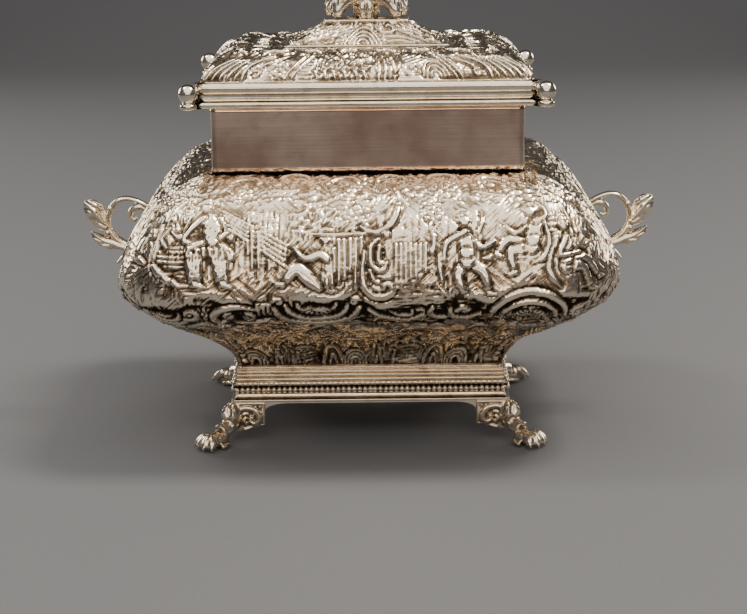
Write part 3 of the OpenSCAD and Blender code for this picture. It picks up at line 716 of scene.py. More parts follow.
def cavalier(art, s, v, size=1.0, flip=False):
    """A standing man in a short cape and wide breeches, one arm stretched out."""
    art.at(s, v, size, flip)
    for x, lean in ((-5.0, 0.8), (2.2, 1.2)):
        art.stroke([(x, 10.5), (x + lean * 0.5, 5.2), (x + lean, 0.4)], [2.5, 2.3, 1.7], 0.6, 0.6, 0.5)
        for fold in (-1.5, -0.5, 0.5, 1.5):
            art.stroke([(x + fold, 9.8), (x + fold * 0.8 + lean * 0.5, 5), (x + fold * 0.6 + lean, 0.8)],
                       [0.5, 0.42, 0.3], 0.85, 0.0, 0.3)
        art.stroke([(x + lean - 0.2, 0.4), (x + lean + 2.2, -0.5)], [1.0, 0.55], 0.7, 0.5, 0.4)
    art.stroke([(-6.6, 8.8), (-5.0, 11.4), (-1.2, 12.8), (2.4, 12.2), (5.4, 9.6), (6.4, 7.8)],
               [0.8, 1.0, 0.95, 0.95, 0.9, 0.6], 0.9, 0.5, 0.45)
    for k in range(7):
        x = -5.4 + 1.75 * k
        art.stroke([(x, 10.9 - 0.16 * (k - 3) ** 2), (x + 0.3, 8.6 - 0.16 * (k - 3) ** 2)],
                   [0.55, 0.35], 0.8, 0.2, 0.3)
    art.stroke([(3.6, 21.6), (5.0, 18.0), (5.9, 14.0)], [1.0, 1.7, 1.1], 0.65, 0.5, 0.45)
    art.stroke([(-0.6, 21.0), (0.6, 17.0), (0.8, 13.4)], [2.0, 2.5, 2.1], 0.85, 0.5, 0.5)
    for k in range(4):
        art.stroke([(-1.2, 19.4 - 1.7 * k), (0.7, 18.8 - 1.7 * k), (2.6, 19.6 - 1.7 * k)], 0.28, 1.0,
                   0.0, 0.3)
    art.stroke([(-2.0, 20.6), (-4.8, 17.4), (-8.2, 13.6), (-6.0, 12.6)], [1.1, 1.0, 0.9, 0.7], 0.95,
               0.5, 0.45)
    art.stroke([(3.0, 20.4), (5.0, 16.4), (3.0, 13.8)], [1.0, 0.9, 0.7], 0.95, 0.45, 0.4)
    art.blob(-1.3, 24.4, 1.6, 1.9, 0, 0.95, 0.5, 0.45)
    art.stroke([(-3.6, 25.2), (-1.4, 26.8), (1.4, 25.6)], [0.5, 0.95, 0.5], 0.9, 0.3, 0.35)
    art.stroke([(0.4, 26.4), (2.0, 27.6), (3.4, 26.6)], [0.5, 0.6, 0.3], 0.8, 0.3, 0.35)
    art.blob(-2.4, 24.0, 0.45, 0.4, 0, 1.05, 0.0, 0.3)


def fallen_pair(art, s, v, flip=False):
    """Two people down on the bank: a helmet, a bent back and outstretched legs."""
    art.at(s, v, 1.0, flip)
    art.lines((-4, 2.0), (11, 12.0), 2, 1.5, 0.4, 2.0)
    art.stroke([(-8.5, 12.5), (-9.5, 9.5), (-7.5, 7.0)], [1.4, 1.9, 1.2], 0.7, 0.5)
    art.blob(-5.6, 15.2, 1.9, 1.7, 20, 0.9, 0.5)
    art.stroke([(-7.4, 14.4), (-5.4, 13.4), (-3.4, 14.4)], [0.4, 0.6, 0.4], 0.95, 0.2, 0.3)
    art.stroke([(-11.5, 7.2), (-8.6, 6.6), (-5.2, 5.8)], [0.8, 1.2, 0.9], 0.95, 0.7, 0.5)
    art.stroke([(-2.0, 17.5), (-1.4, 12.0), (-1.8, 6.0)], [0.8, 0.9, 0.5], 0.9, 0.5)
    art.blob(2.4, 19.6, 1.5, 1.8, 0, 0.9, 0.5)
    art.stroke([(2.6, 17.4), (3.2, 14.0), (2.0, 11.4)], [1.5, 1.9, 1.4], 0.8, 0.5)
    art.stroke([(2.2, 16.8), (-0.2, 13.6), (2.4, 11.2)], [0.8, 0.8, 0.6], 0.9, 0.4)
    art.stroke([(-1.2, 5.4), (1.4, 3.2), (4.2, 1.6), (6.4, 1.0)], [0.9, 1.35, 1.1, 0.8], 1.0, 0.8, 0.5)
    art.stroke([(6.2, 1.2), (7.6, 0.2)], [0.8, 0.45], 0.9, 0.5)
    art.stipple((-6, -2), (3, 2), 1.3, 0.7, 0.5)


def palm(art, s, v, flip=False):
    """A fan of long upright leaves."""
    art.at(s, v, 1.0, flip)
    for k in range(7):
        lean = -2.6 + 0.95 * k
        art.stroke([(0, 0), (lean * 0.7 + 0.6, 4.5), (lean + 1.6, 9.2 - 0.25 * (k - 3) ** 2)],
                   [0.35, 0.6, 0.3], 0.75, 0.45, 0.3)
    art.stroke([(-4.6, 0.4), (-1.4, -0.9), (2.8, 0.2), (5.2, 2.6)], [0.4, 0.9, 0.9, 0.4], 0.8, 0.5)


def rays(art, s, v, flip=False):
    """A slanted sheaf of straight beams over upright hatching."""
    art.at(s, v, 1.0, flip)
    art.lines((-9, -12), (8, 8), 88, 1.5, 0.35, 2.5)
    for k in range(5):
        art.stroke([(-9.5 + 0.5 * k, 7.8 - 1.5 * k), (8.5 - 0.2 * k, -3.4 - 1.5 * k)],
                   [0.55, 0.5], 0.55, 0.3, 0.28)
    art.stroke([(-1.2, 3), (-1.2, -10)], [0.5, 0.5], 0.5, 0.35, 0.3)
    art.stroke([(0.6, 1), (0.6, -10)], [0.4, 0.4], 0.4, 0.3, 0.3)


def kneeler(art, s, v, flip=False):
    """A robed person half kneeling, one arm swept out in a long curve."""
    art.at(s, v, 1.0, flip)
    art.stroke([(3.6, 8.5), (4.4, 2), (4.0, -2.8)], [1.9, 2.7, 3.4], 0.6)
    for fold in (-1.4, 0.2, 1.8):
        art.stroke([(3.8 + fold * 0.5, 7), (4.2 + fold, -4)], [0.6, 0.8], 0.75, 0.22, 0.3)
    art.stroke([(-9.6, -3.4), (-5.6, 1.2), (-2.2, -2.0), (0.6, -4.6)], [1.0, 1.7, 1.9, 1.0], 0.85)
    art.stroke([(-9.6, -3.4), (-11.6, -3.2)], [0.9, 0.5], 0.7)
    art.stroke([(-6.2, 7.6), (-4.4, 4.9), (-2.2, 4.2), (0.8, 5.2), (2.8, 3.8)],
               [0.35, 0.8, 1.0, 1.2, 1.1], 1.0, 0.5, 0.5)
    art.blob(2.6, 10.4, 1.8, 2.1, 0, 1.0)
    art.stroke([(0.6, 11.6), (2.6, 13.0), (4.8, 11.2), (5.0, 8.6)], [0.5, 0.9, 0.9, 0.4], 0.8, 0.3)


def drapery(art, s, v, folds=6, tall=16.0, flip=False):
    """Upright hanging folds of uneven length."""
    art.at(s, v, 1.0, flip)
    for k in range(folds):
        x = (k - (folds - 1) / 2) * 1.55
        drop = tall * (0.82 + 0.18 * math.sin(2.4 * k + 0.7))
        art.stroke([(x, tall / 2), (x + 0.3, 0), (x - 0.1, tall / 2 - drop)],
                   [0.6, 0.85, 0.65], 0.6, 0.5, 0.32)


def cartouche(art, s, v, flip=False):
    """The tall S scroll in the middle: a C above, and a C below that curls into an eye."""
    art.at(s, v, 1.0, flip)
    art.stroke([(-15.5, 9.2), (-8, 9.0), (-1, 9.4)], [0.35, 0.7, 0.6], 0.65, 0.5, 0.4)
    for k in range(4):
        x = 2.6 + 1.3 * k
        art.stroke([(x - 0.6, 29 - k), (x + 0.8, 23 - 0.4 * k), (x - 0.6, 17.4 + 0.6 * k),
                    (x - 3.2, 14.8 + 0.5 * k)], [0.3, 0.7, 0.65, 0.25], 0.5, 0.35, 0.35)
    art.stroke([(7.7, 26), (9.4, 22), (10.8, 18.6)], [0.3, 0.7, 0.4], 0.6, 0.35)
    art.stroke([(8.5, 19.5), (7.8, 15.4), (6.2, 12.2), (3.4, 10.0), (0.2, 10.0), (-2.4, 11.6)],
               [0.5, 1.1, 1.15, 1.0, 0.8, 0.4], 0.95, 0.5, 0.5)
    art.blob(5.0, 9.0, 1.2, 1.2, 0, 0.9)
    art.stroke([(3.0, 5.6), (2.6, 2.2), (3.0, 0.4), (4.2, 0.3)], [0.5, 0.7, 0.7, 0.6], 0.7, 0.45)
    art.stroke([(2.4, 7.4), (0.4, 4.6), (0.6, 0.4), (2.2, -1.6), (4.2, -1.4), (5.0, 0.4)],
               [0.4, 0.8, 0.85, 0.8, 0.75, 0.5], 0.75, 0.5)
    art.stroke([(0.2, -1.6), (1.4, -4.4), (3.4, -5.4)], [0.4, 0.7, 0.5], 0.6, 0.5)
    art.stroke([(-1.2, 3.6), (-1.8, -2.2), (-1.2, -6.6), (1.2, -9.2), (4.1, -9.6), (6.4, -8.0),
                (5.8, -5.8), (4.2, -5.9), (4.0, -7.2)],
               [0.5, 0.9, 1.1, 1.15, 1.1, 0.95, 0.8, 0.65, 0.5], 1.0, 0.55, 0.5)


def reeds(art, s, v, count=8, flip=False):
    """Upright reeds whose feet step up to one side."""
    art.at(s, v, 1.0, flip)
    for k in range(count):
        x = k * 1.35
        art.stroke([(x, 6.2), (x, -6.4 + 0.9 * k + 0.8 * math.sin(3.0 * k))], [0.6, 0.6],
                   0.5, 0.45, 0.3)


def standing_child(art, s, v, flip=False):
    """A standing child with an arm stretched out and a cloth behind."""
    art.at(s, v, 1.0, flip)
    art.stroke([(-5.0, 14), (-6.8, 9), (-6.2, 3)], [0.4, 1.0, 0.6], 0.55)
    art.figure({"head": (0.2, 21.4), "neck": (0.2, 17.6), "hip": (0.8, 8.6),
                "far_elbow": (4.6, 13.0), "far_hand": (8.2, 14.6),
                "near_elbow": (-4.8, 14.2), "near_hand": (-5.6, 9.2),
                "far_knee": (5.2, 5.6), "far_foot": (6.8, -0.6), "far_toe": (8.4, -0.9),
                "near_knee": (-1.8, 4.6), "near_foot": (0.6, -1.4), "near_toe": (-1.2, -1.9)})
    art.stroke([(4.0, 17.2), (5.2, 20.5), (5.0, 24.0)], [0.5, 0.6, 0.3], 0.6, 0.35)
    art.leaf(-4.2, -1.6, 5.2, 115, 1.4, 3)


def reclining_child(art, s, v, flip=False):
    """A child leaning back, one arm over its head."""
    art.at(s, v, 1.0, flip)
    art.stroke([(-11.5, -1.4), (-5.5, -0.2), (-0.6, -1.2)], [0.5, 1.7, 0.4], 0.6)
    art.figure({"head": (1.6, 13.8), "neck": (3.0, 9.8), "hip": (1.6, 1.6),
                "far_elbow": (-2.4, 6.4), "far_hand": (-5.6, 8.2),
                "near_elbow": (6.6, 12.2), "near_hand": (3.8, 16.4),
                "far_knee": (-4.4, 4.4), "far_foot": (-8.2, -0.4),
                "near_knee": (-4.2, 0.4), "near_foot": (-3.0, -5.6), "near_toe": (-5.0, -6.2)})
    art.stroke([(5.6, 9.4), (6.8, 3.8), (5.2, -0.8), (1.8, -3.0)], [0.5, 1.1, 1.0, 0.4], 0.75)


def seated_child(art, s, v, flip=False):
    """A seated child in a wreath, with its legs stretched out."""
    art.at(s, v, 1.0, flip)
    art.stroke([(-6.4, 8), (-7.6, 2), (-4.4, -3.2)], [0.4, 1.2, 0.5], 0.6)
    art.figure({"head": (-0.6, 15.4), "neck": (-0.4, 11.4), "hip": (-2.2, 2.4),
                "far_elbow": (3.6, 8.0), "far_hand": (6.4, 11.2),
                "near_elbow": (-3.8, 6.2), "near_hand": (3.4, 6.6),
                "far_knee": (5.0, 4.8), "far_foot": (9.4, -1.4), "far_toe": (11.0, -1.2),
                "near_knee": (3.6, 2.2), "near_foot": (5.6, -4.2), "near_toe": (7.6, -4.4)})
    art.stroke([(2.4, 10.4), (5.6, 8.2), (8.6, 9.4)], [0.7, 0.9, 0.5], 0.9, 0.4)
    for a in range(0, 180, 30):
        art.blob(-0.6 + 2.7 * math.cos(math.radians(a)), 15.8 + 2.7 * math.sin(math.radians(a)),
                 0.75, 0.75, 0, 0.8, 0.3, 0.3)


def croucher(art, s, v, flip=False):
    """A child bent forward beside a staff."""
    art.at(s, v, 1.0, flip)
    art.figure({"head": (-2.2, 14.6), "neck": (-1.8, 10.8), "hip": (-3.8, 3.0),
                "far_elbow": (2.4, 11.6), "far_hand": (3.4, 16.0),
                "near_elbow": (0.6, 7.4), "near_hand": (-4.6, 6.2),
                "far_knee": (1.4, 4.4), "far_foot": (5.6, -1.2),
                "near_knee": (-3.2, -2.2), "near_foot": (1.2, -3.4)}, 0.95)
    art.stroke([(0.4, 19), (-0.6, 12), (0.2, 6.4)], [0.3, 0.6, 0.4], 0.7, 0.3)


def tree(art, s, v, size=1.0, flip=False):
    """A leafy tree with a twisted trunk."""
    art.at(s, v, size, flip)
    art.stroke([(0, -8), (0.8, -3), (-0.4, 2), (0.6, 6)], [1.3, 0.9, 0.8, 0.5], 0.7, 0.5)
    art.stroke([(0.2, 0), (2.8, 4)], [0.6, 0.4], 0.6, 0.4)
    for a in range(9):
        angle = math.radians(40 * a)
        art.blob(2.9 * math.cos(angle), 8.2 + 2.6 * math.sin(angle), 1.5, 1.1, 40 * a, 0.7, 0.4, 0.35)
    art.blob(0, 8.2, 1.9, 1.6, 0, 0.9, 0.3, 0.3)


def shell_fan(art, s, v, radius=11.5, rise=7.0, ribs=3, flip=False, inverted=False):
    """Nested arches with ribs between them; inverted hangs them as bowls."""
    art.at(s, v, 1.0, flip)
    sign = -1 if inverted else 1
    for k in range(ribs):
        f = 1 - 0.27 * k
        arch = [(radius * f * math.cos(a), sign * (rise * f * math.sin(a) - 0.4 * k))
                for a in np.linspace(0.04 * math.pi, 0.96 * math.pi, 9)]
        girth = 1.0 - 0.16 * k
        art.stroke(arch, np.array([0.7, 0.95, 1.1, 1.2, 1.2, 1.15, 1.1, 0.95, 0.7]) * girth,
                   1.0 - 0.1 * k, 0.8, 0.6, 5)
    if inverted:
        art.volute(-radius + 1.2, 0.6, 1.5, 0.9, 150, -1, 0.7, 0.95)
        art.volute(radius - 1.2, 0.8, 1.5, 0.9, 30, 1, 0.7, 0.95)
    for a in np.linspace(0.2 * math.pi, 0.8 * math.pi, 7):
        inner, outer = 0.16, 0.40
        art.stroke([(radius * inner * math.cos(a), sign * rise * inner * math.sin(a)),
                    (radius * outer * math.cos(a), sign * rise * outer * math.sin(a))],
                   [0.3, 0.5], 0.5, 0.5, 0.3)


def s_scroll(art, s, v, size=1.0, flip=False):
    """A long S with a curled eye at each end."""
    art.at(s, v, size, flip)
    art.volute(7.0, 1.6, 3.0, 1.15, -120, 1, 1.1, 1.0,
               [(-8.6, 2.4), (-7.4, -2.0), (-2.0, -4.8), (3.6, -3.6)])
    art.stroke([(-6.6, 2.0), (-4.6, -1.2), (-0.4, -2.2), (2.8, -0.8), (3.4, 1.2)],
               [0.4, 0.8, 0.85, 0.7, 0.4], 0.9, 0.7, 0.5)
    art.stroke([(-4.2, 1.8), (-2.0, 0.4), (0.6, 0.6)], [0.3, 0.65, 0.3], 0.8, 0.7, 0.5)


def c_scroll(art, s, v, size=1.0, flip=False):
    """An open C with two small eyes and a comb of short ribs."""
    art.at(s, v, size, flip)
    art.stroke([(6.4, 3.4), (1.5, 4.3), (-3.6, 2.8), (-5.4, -1.0), (-3.8, -4.0), (-1.8, -3.0)],
               [0.4, 1.0, 1.2, 1.1, 0.95, 0.5], 1.0, 0.85, 0.6)
    art.volute(-0.6, 0.0, 1.7, 1.0, 90, 1, 0.7, 0.85)
    art.volute(4.4, -0.6, 2.1, 1.0, 90, -1, 0.75, 0.85)
    art.stroke([(1.0, -4.2), (5.4, -4.4), (9.8, -3.0)], [0.4, 0.8, 0.4], 0.85, 0.7, 0.5)
    for k in range(3):
        art.stroke([(7.4 + 1.5 * k, 5.2), (7.7 + 1.5 * k, 1.4)], [0.8, 0.5], 0.85, 0.6, 0.4)


def lattice_flower(art, s, v):
    """A small flower on a crosshatched ground."""
    art.at(s, v)
    for k in range(-2, 3):
        art.stroke([(k * 1.2 - 2, -3.4), (k * 1.2 + 2, 3.4)], 0.3, 0.45, 0.5, 0.25)
        art.stroke([(k * 1.2 + 2, -3.4), (k * 1.2 - 2, 3.4)], 0.3, 0.45, 0.5, 0.25)
    for k in range(5):
        a = math.radians(72 * k + 18)
        art.blob(1.3 * math.cos(a), 1.3 * math.sin(a), 1.0, 0.7, 72 * k + 18, 0.8, 0.4, 0.25)


def wavy_foliage(art, s, v, length=24.0, flip=False):
    """A running wave with leaves in its hollows."""
    art.at(s, v, 1.0, flip)
    art.stroke([(-8.0, 3.0), (-4.4, -0.6), (0.6, -2.6), (5.0, -2.4), (8.0, 0.2), (7.2, 2.6), (5.6, 2.4)],
               [0.5, 0.9, 1.05, 1.0, 1.0, 0.8, 0.6], 0.95, 0.8, 0.55)
    art.stroke([(-2.0, 2.2), (1.0, 0.0), (4.0, 0.4), (4.4, 2.2)], [0.3, 0.75, 0.7, 0.4], 0.85, 0.7, 0.5)
    half = length / 2
    art.stroke([(half - 2.0, 3.6), (half - 2.8, 0.6), (half, -1.8), (half + 3.2, -1.2)],
               [0.7, 0.9, 0.95, 0.5], 0.95, 0.8, 0.55)
    art.stroke([(half + 3.0, 3.0), (half + 3.4, -0.6), (half + 7.0, -2.0), (half + 11.4, 0.6)],
               [0.6, 0.95, 1.0, 0.5], 0.95, 0.8, 0.55)
    art.volute(half + 6.6, 1.8, 1.8, 1.0, 180, -1, 0.8, 0.9)


def lower_border(art):
    """Sinks and mats the ground that the scroll border stands on."""
    v = art.sheet.v
    edge = 2.2 * np.sin(art.sheet.s / 5.7)[None, :] + 1.2 * np.sin(art.sheet.s / 2.3)[None, :]
    at = v[:, None] + edge
    band = (smooth_step(BORDER_FOOT - 2.5, BORDER_FOOT, at)
            - smooth_step(BORDER_TOP, BORDER_TOP + 2.5, at))
    art.h = mix(art.h, -0.62 + 0.14 * art.soft_noise(0.9), np.clip(band, 0, 1) * 0.9)


def scroll_border(art, s, v, order):
    """A run of border pieces: each entry is (kind, how far along, flipped)."""
    for kind, along, flip in order:
        place = s + along
        if kind == "s":
            s_scroll(art, place, v - 0.5, 1.0, flip)
        elif kind == "c":
            c_scroll(art, place, v, 1.0, flip)
        elif kind == "flower":
            lattice_flower(art, place, v)
        elif kind == "bowl":
            shell_fan(art, place, v + 5.2, 12.0, 10.4, 3, flip, True)
        elif kind == "arch":
            shell_fan(art, place, v - 2.4, 11.4, 11.0, 2, flip)
            art.lines((-6, -4), (9, 3), 88, 1.2, 0.5, 1.5)
        elif kind == "wave":
            wavy_foliage(art, place, v, 24.0, flip)
        elif kind == "eye":
            art.at(place, v, 1.0, flip)
            art.volute(0, 0.4, 2.6, 1.2, 90, -1, 0.95, 0.95)


WIDE_BORDER = [("flower", -46.8, False), ("c", -38.5, False), ("bowl", -14.7, False),
               ("wave", 7.6, False), ("arch", 45.0, False), ("eye", 60.5, True),
               ("s", -57.5, False)]
SIDE_BORDER = [("eye", -38, False), ("c", -29, False), ("bowl", -6, False), ("wave", 16.0, False),
               ("flower", 39.0, False)]
V_GROUND = 48.5     # foot line of the large scenes, up the section
V_BORDER = 39.5     # middle of the scroll border
BORDER_FOOT, BORDER_TOP = 33.0, 43.0
V_TOP = 92.8        # where the relief ends under the neck


def under_belly(art):
    """Lumpy shells and leaves on the underside, between the waist and the scroll border."""
    count = 44
    for k in range(count):
        s = (k + 0.5) / count * art.sheet.round
        art.at(s, 21.5)
        tall = 1 + 0.35 * math.sin(5 * k)
        art.leaf(-2, -5.0, 9.5 * tall, 72 + 30 * (k % 2), 2.3, 4, 0.8, 0.25 if k % 2 else -0.25)
        art.blob(3.2, -1.0 + 2 * (k % 3), 1.6, 1.2, 30 * k, 0.8, 0.5)
        art.stroke([(0.5, 8.0), (3.0, 9.6), (5.6, 8.0)], [0.5, 0.9, 0.5], 0.8, 0.6)


def shoulder_foliage(art):
    """Leaves on the shoulder with loose scrolls through them, over soft knocked-up ground."""
    art.at(0, 0)
    half = art.sheet.round / 2
    art.stipple((-half, 75.5), (half, 92.4), 1.7, 1.1, 0.42)
    count = 34
    for k in range(count):
        s = (k + 0.5) / count * art.sheet.round
        art.at(s, 84.5 + 1.6 * math.sin(2.6 * k), 1.0, k % 2 == 0)
        lean = 35 + 25 * math.sin(1.7 * k)
        art.leaf(-1.5, -4.8, 8.5, lean, 2.1, 4, 0.55, 0.2 if k % 2 else -0.2)
        art.stroke([(-4.6, 1.0), (-2.6, 4.2), (1.4, 5.4), (4.2, 3.6), (4.4, 1.6)],
                   [0.4, 0.9, 1.05, 0.85, 0.45], 0.6, 0.3, 0.45)
        if k % 3 == 0:
            art.volute(2.4, -3.2, 1.9, 1.1, 60, 1, 0.8, 0.55)
        if k % 3 == 1:
            for turn in range(5):
                a = 1.26 * turn + k
                art.blob(1.8 + 1.3 * math.cos(a), -2.6 + 1.3 * math.sin(a), 0.95, 0.75,
                         math.degrees(a), 0.5, 0.3, 0.35)


def waist_arches(art):
    """Three nested arches."""
    for k in range(3):
        f = 1 - 0.3 * k
        art.stroke([(3.9 * f * math.cos(a), 4.6 * f * math.sin(a))
                    for a in np.linspace(0, math.pi, 7)], 0.55, 0.7, 0.6, 0.32, 4)


def waist_walker(art):
    """A tiny person walking."""
    art.stroke([(0, 6.2), (0.2, 3.6), (-0.9, 0)], [0.6, 1.0, 0.5], 0.75, 0.55, 0.35)
    art.stroke([(0.2, 3.6), (1.3, 0)], [0.8, 0.5], 0.75, 0.55, 0.35)
    art.blob(0, 7.4, 0.8, 0.9, 0, 0.85, 0.5, 0.35)
    art.stroke([(0, 5.6), (2.2, 5.2)], [0.5, 0.35], 0.7, 0.4, 0.3)


def waist_sapling(art):
    """A little round tree."""
    art.stroke([(0, 0), (0.3, 4.0)], [0.6, 0.45], 0.6, 0.5, 0.32)
    for a in range(5):
        art.blob(1.5 * math.cos(1.26 * a), 5.6 + 1.5 * math.sin(1.26 * a), 1.0, 0.8,
                 72 * a, 0.7, 0.45, 0.3)


def waist_water(art):
    """Water under a low bridge."""
    art.lines((-4.5, -0.6), (4.5, 6.5), 8, 1.15, 0.35, 1.0)
    art.stroke([(-4.2, 5.0), (0, 6.6), (4.4, 5.2)], [0.35, 0.6, 0.35], 0.6, 0.5, 0.32)


def waist_hill(art):
    """A steep hill with a hut in it."""
    art.stroke([(-3.6, 0), (-1.6, 5.6), (0, 6.8), (1.8, 5.4), (3.6, 0)],
               [0.6, 0.85, 0.9, 0.85, 0.6], 0.75, 0.6, 0.36)
    art.stroke([(-1.2, 0), (0, 2.8), (1.2, 0)], [0.4, 0.5, 0.4], 0.55, 0.5, 0.3)


# The waist's motifs in their order, each with the room that it takes.
WAIST_MOTIFS = ((waist_arches, 8.4), (waist_walker, 5.4), (waist_sapling, 5.6),
                (waist_water, 9.2), (waist_hill, 8.2))


def waist_scene(art):
    """The low register: small motifs in turn on each face, between knotted posts."""
    for face, half in enumerate((37.5, 27.5, 37.5, 27.5)):
        centre = face * art.sheet.quarter
        scale = art.sheet.flat_w / 38.8 if face % 2 == 0 else art.sheet.flat_d / 28.0
        art.at(centre, 1.0)
        reach = half * scale
        art.stipple((-reach, 8.0), (reach, 13.0), 1.7, 1.0, 0.55)
        x = -reach + 5
        kind = face
        while x < reach - 5:
            art.at(centre + x, 1.6)
            motif, room = WAIST_MOTIFS[kind % len(WAIST_MOTIFS)]
            motif(art)
            x += room
            kind += 1
        for side in (-1, 1):
            for k in range(7):
                art.at(centre + side * reach * 0.985, 0.4 + 1.9 * k)
                art.blob(0, 0, 1.25, 0.85, 25 * (-1) ** k, 0.75, 0.6, 0.32)
        art.at(centre, 0.0)
        art.stroke([(-reach, 0.35), (0, 0.35), (reach, 0.35)], 0.45, 0.5, 0.35, 0.3, 2)


def front_scene(art):
    """The large scene on the front."""
    art.at(0, 0)
    art.lines((-62, 55), (-50, 70), 2, 1.4, 0.3)
    art.lines((-36, 50), (-22, 62), 90, 2.6, 0.2)
    art.lines((6, 64), (24, 72), 90, 2.0, 0.25)
    art.stipple((-22, 66), (0, 77), 1.5, 0.9, 0.5)
    fallen_pair(art, -61.0, V_GROUND + 2.0)
    palm(art, -53.0, 66.0)
    cavalier(art, -43.9, V_GROUND + 2.2)
    rays(art, -31.0, 65.6)
    kneeler(art, -14.4, 54.2)
    drapery(art, -5.2, 57.6, 5, 15.0)
    reeds(art, 7.6, 56.0, 7)
    cartouche(art, 0.0, 56.4)
    standing_child(art, 26.4, V_GROUND - 0.2)
    reclining_child(art, 43.4, 59.2)
    seated_child(art, 57.6, V_GROUND + 4.0)
    tree(art, 17.5, 66.0, 0.75)


def back_scene(art, centre):
    """The large scene on the back: the same kinds of motif in another order."""
    art.at(centre, 0)
    art.lines((20, 54), (34, 70), 2, 1.4, 0.3)
    art.lines((-30, 52), (-16, 68), 90, 2.2, 0.25)
    seated_child(art, centre - 57, V_GROUND + 4.0, True)
    standing_child(art, centre - 38, V_GROUND, True)
    tree(art, centre - 24, 60.0, 1.2)
    kneeler(art, centre - 8.0, 54.2, True)
    cartouche(art, centre + 2.0, 56.4, True)
    reeds(art, centre + 8.4, 56.0, 7)
    cavalier(art, centre + 27.0, V_GROUND + 2.2, 1.0, True)
    tree(art, centre + 39.5, 60.0, 1.1)
    croucher(art, centre + 53.0, V_GROUND + 3, True)


def side_scene(art, centre, flip):
    """The scene on an end: a shell cartouche under the handle, with a person on each side."""
    art.at(centre, 0)
    art.lines((-22, 54), (-12, 70), 90, 2.0, 0.25)
    art.lines((12, 54), (22, 70), 90, 2.0, 0.25)
    tree(art, centre - 17, 60, 1.1)
    tree(art, centre + 17, 60, 1.1, True)
    standing_child(art, centre - 29, V_GROUND, flip)
    pair_in_capes(art, centre + 29, V_GROUND + 2.2, 0.95, flip)
    for turn in (False, True):
        art.at(centre, 60, 1.0, turn)
        art.stroke([(1.5, -9), (7.5, -6), (9.2, 1), (6.6, 8), (2.0, 11)],
                   [0.5, 1.0, 1.15, 1.0, 0.5], 0.95, 0.5)
        art.volute(5.4, -7.0, 2.4, 1.0, 60, -1, 0.8, 0.85)
        art.leaf(1.5, 11, 6, 60, 1.4, 4)


def chase_body(sheet):
    """Paints the whole body, back to front."""
    art = Relief(sheet, 7)
    art.undulate(6, 0.22)
    art.undulate(2.4, 0.08)
    under_belly(art)
    shoulder_foliage(art)
    quarter = sheet.quarter
    front_scene(art)
    back_scene(art, 2 * quarter)
    side_scene(art, quarter, False)
    side_scene(art, -quarter, True)
    lower_border(art)
    scroll_border(art, 0, V_BORDER, WIDE_BORDER)
    scroll_border(art, 2 * quarter, V_BORDER, WIDE_BORDER)
    scroll_border(art, quarter, V_BORDER, SIDE_BORDER)
    scroll_border(art, -quarter, V_BORDER, SIDE_BORDER)
    waist_scene(art)
    forms = smooth_step(0.45, 0.7, art.h)
    art.h = mix(art.h, blur(art.h, 0.9 / CELL) + 0.12, 0.5 * forms)
    art.tool_ground(0.12)
    rim = smooth_step(V_TOP - 0.9, V_TOP - 0.2, sheet.v)[:, None]
    foot = 1 - smooth_step(0.1, 0.7, sheet.v)[:, None]
    art.h = mix(art.eased(-0.8, RELIEF), RELIEF * 0.9, np.maximum(rim, foot))
    sunk = (smooth_step(BORDER_FOOT - 3.0, BORDER_FOOT, sheet.v)
            - smooth_step(BORDER_TOP, BORDER_TOP + 4.0, sheet.v))[:, None]
    highest = smooth_step(66.0, 80.0, sheet.v)[:, None]
    art.age = mix(mix(0.58, 0.36, highest), 0.9, sunk)
    art.h = mix(art.h, blur(art.h, 0.35 / CELL), 0.25 * highest)
    return art


def build_body():
    """The bowl and the waist under it, cut from one chased sheet where the CAD parts them."""
    sheet = Sheet(body_section(), (BELLY_HW, BELLY_HD, BELLY_CORNER), CELL)
    art = chase_body(sheet)
    z = sheet.ring[3]
    split = int(np.searchsorted(z, Z_BOWL))
    inside = sheet.points - sheet.normals * (WALL + RELIEF)
    levels = len(z)
    inner = [inside[int(k)] for k in np.linspace(levels - 1, split + 8, 26)]
    lowest = inner[-1]
    for scale in (0.8, 0.4):
        flat = lowest.copy()
        flat[:, :2] *= scale
        flat[:, 2] -= 0.4
        inner.append(flat)
    bowl = relief_band("bowl_relief_shell", sheet, art, CELL, slice(split, None), inner, True)
    finish_piece(bowl, CHASED, "casket", "chased_silver", "bowl_shell")
    low = [inside[int(k)] for k in np.linspace(split, 0, 6)]
    waist = relief_band("waist_relief_band", sheet, art, CELL, slice(0, split + 1), low)
    finish_piece(waist, CHASED, "casket", "chased_silver", "waist_band")


# ------------------------------------------------------------------ cast and turned pieces

def soften(points, radius, steps=3):
    """A closed outline with each corner rounded off."""
    p = np.array(points, float)
    out = []
    for before, here, after in zip(np.roll(p, 1, 0), p, np.roll(p, -1, 0)):
        a, b = [here + (other - here) * min(radius / max(np.linalg.norm(other - here), 1e-6), 0.45)
                for other in (before, after)]
        for t in np.linspace(0, 1, steps + 1):
            out.append(a * (1 - t) ** 2 + 2 * here * t * (1 - t) + b * t * t)
    return np.array(out)


def plan_ring(hw, hd, r, z, edge=30, corner=8):
    """A ring round a rectangle with round corners, with the same count of points for any size."""
    quarter = [(x, -hd) for x in np.linspace(0, hw - r, edge, endpoint=False)]
    quarter += [(hw - r + r * math.sin(a), r - hd - r * math.cos(a))
                for a in np.linspace(0, math.pi / 2, corner + 1)]
    quarter += [(hw, y) for y in np.linspace(r - hd, 0, edge + 1)[1:]]
    return mirror_quarter(quarter, z)


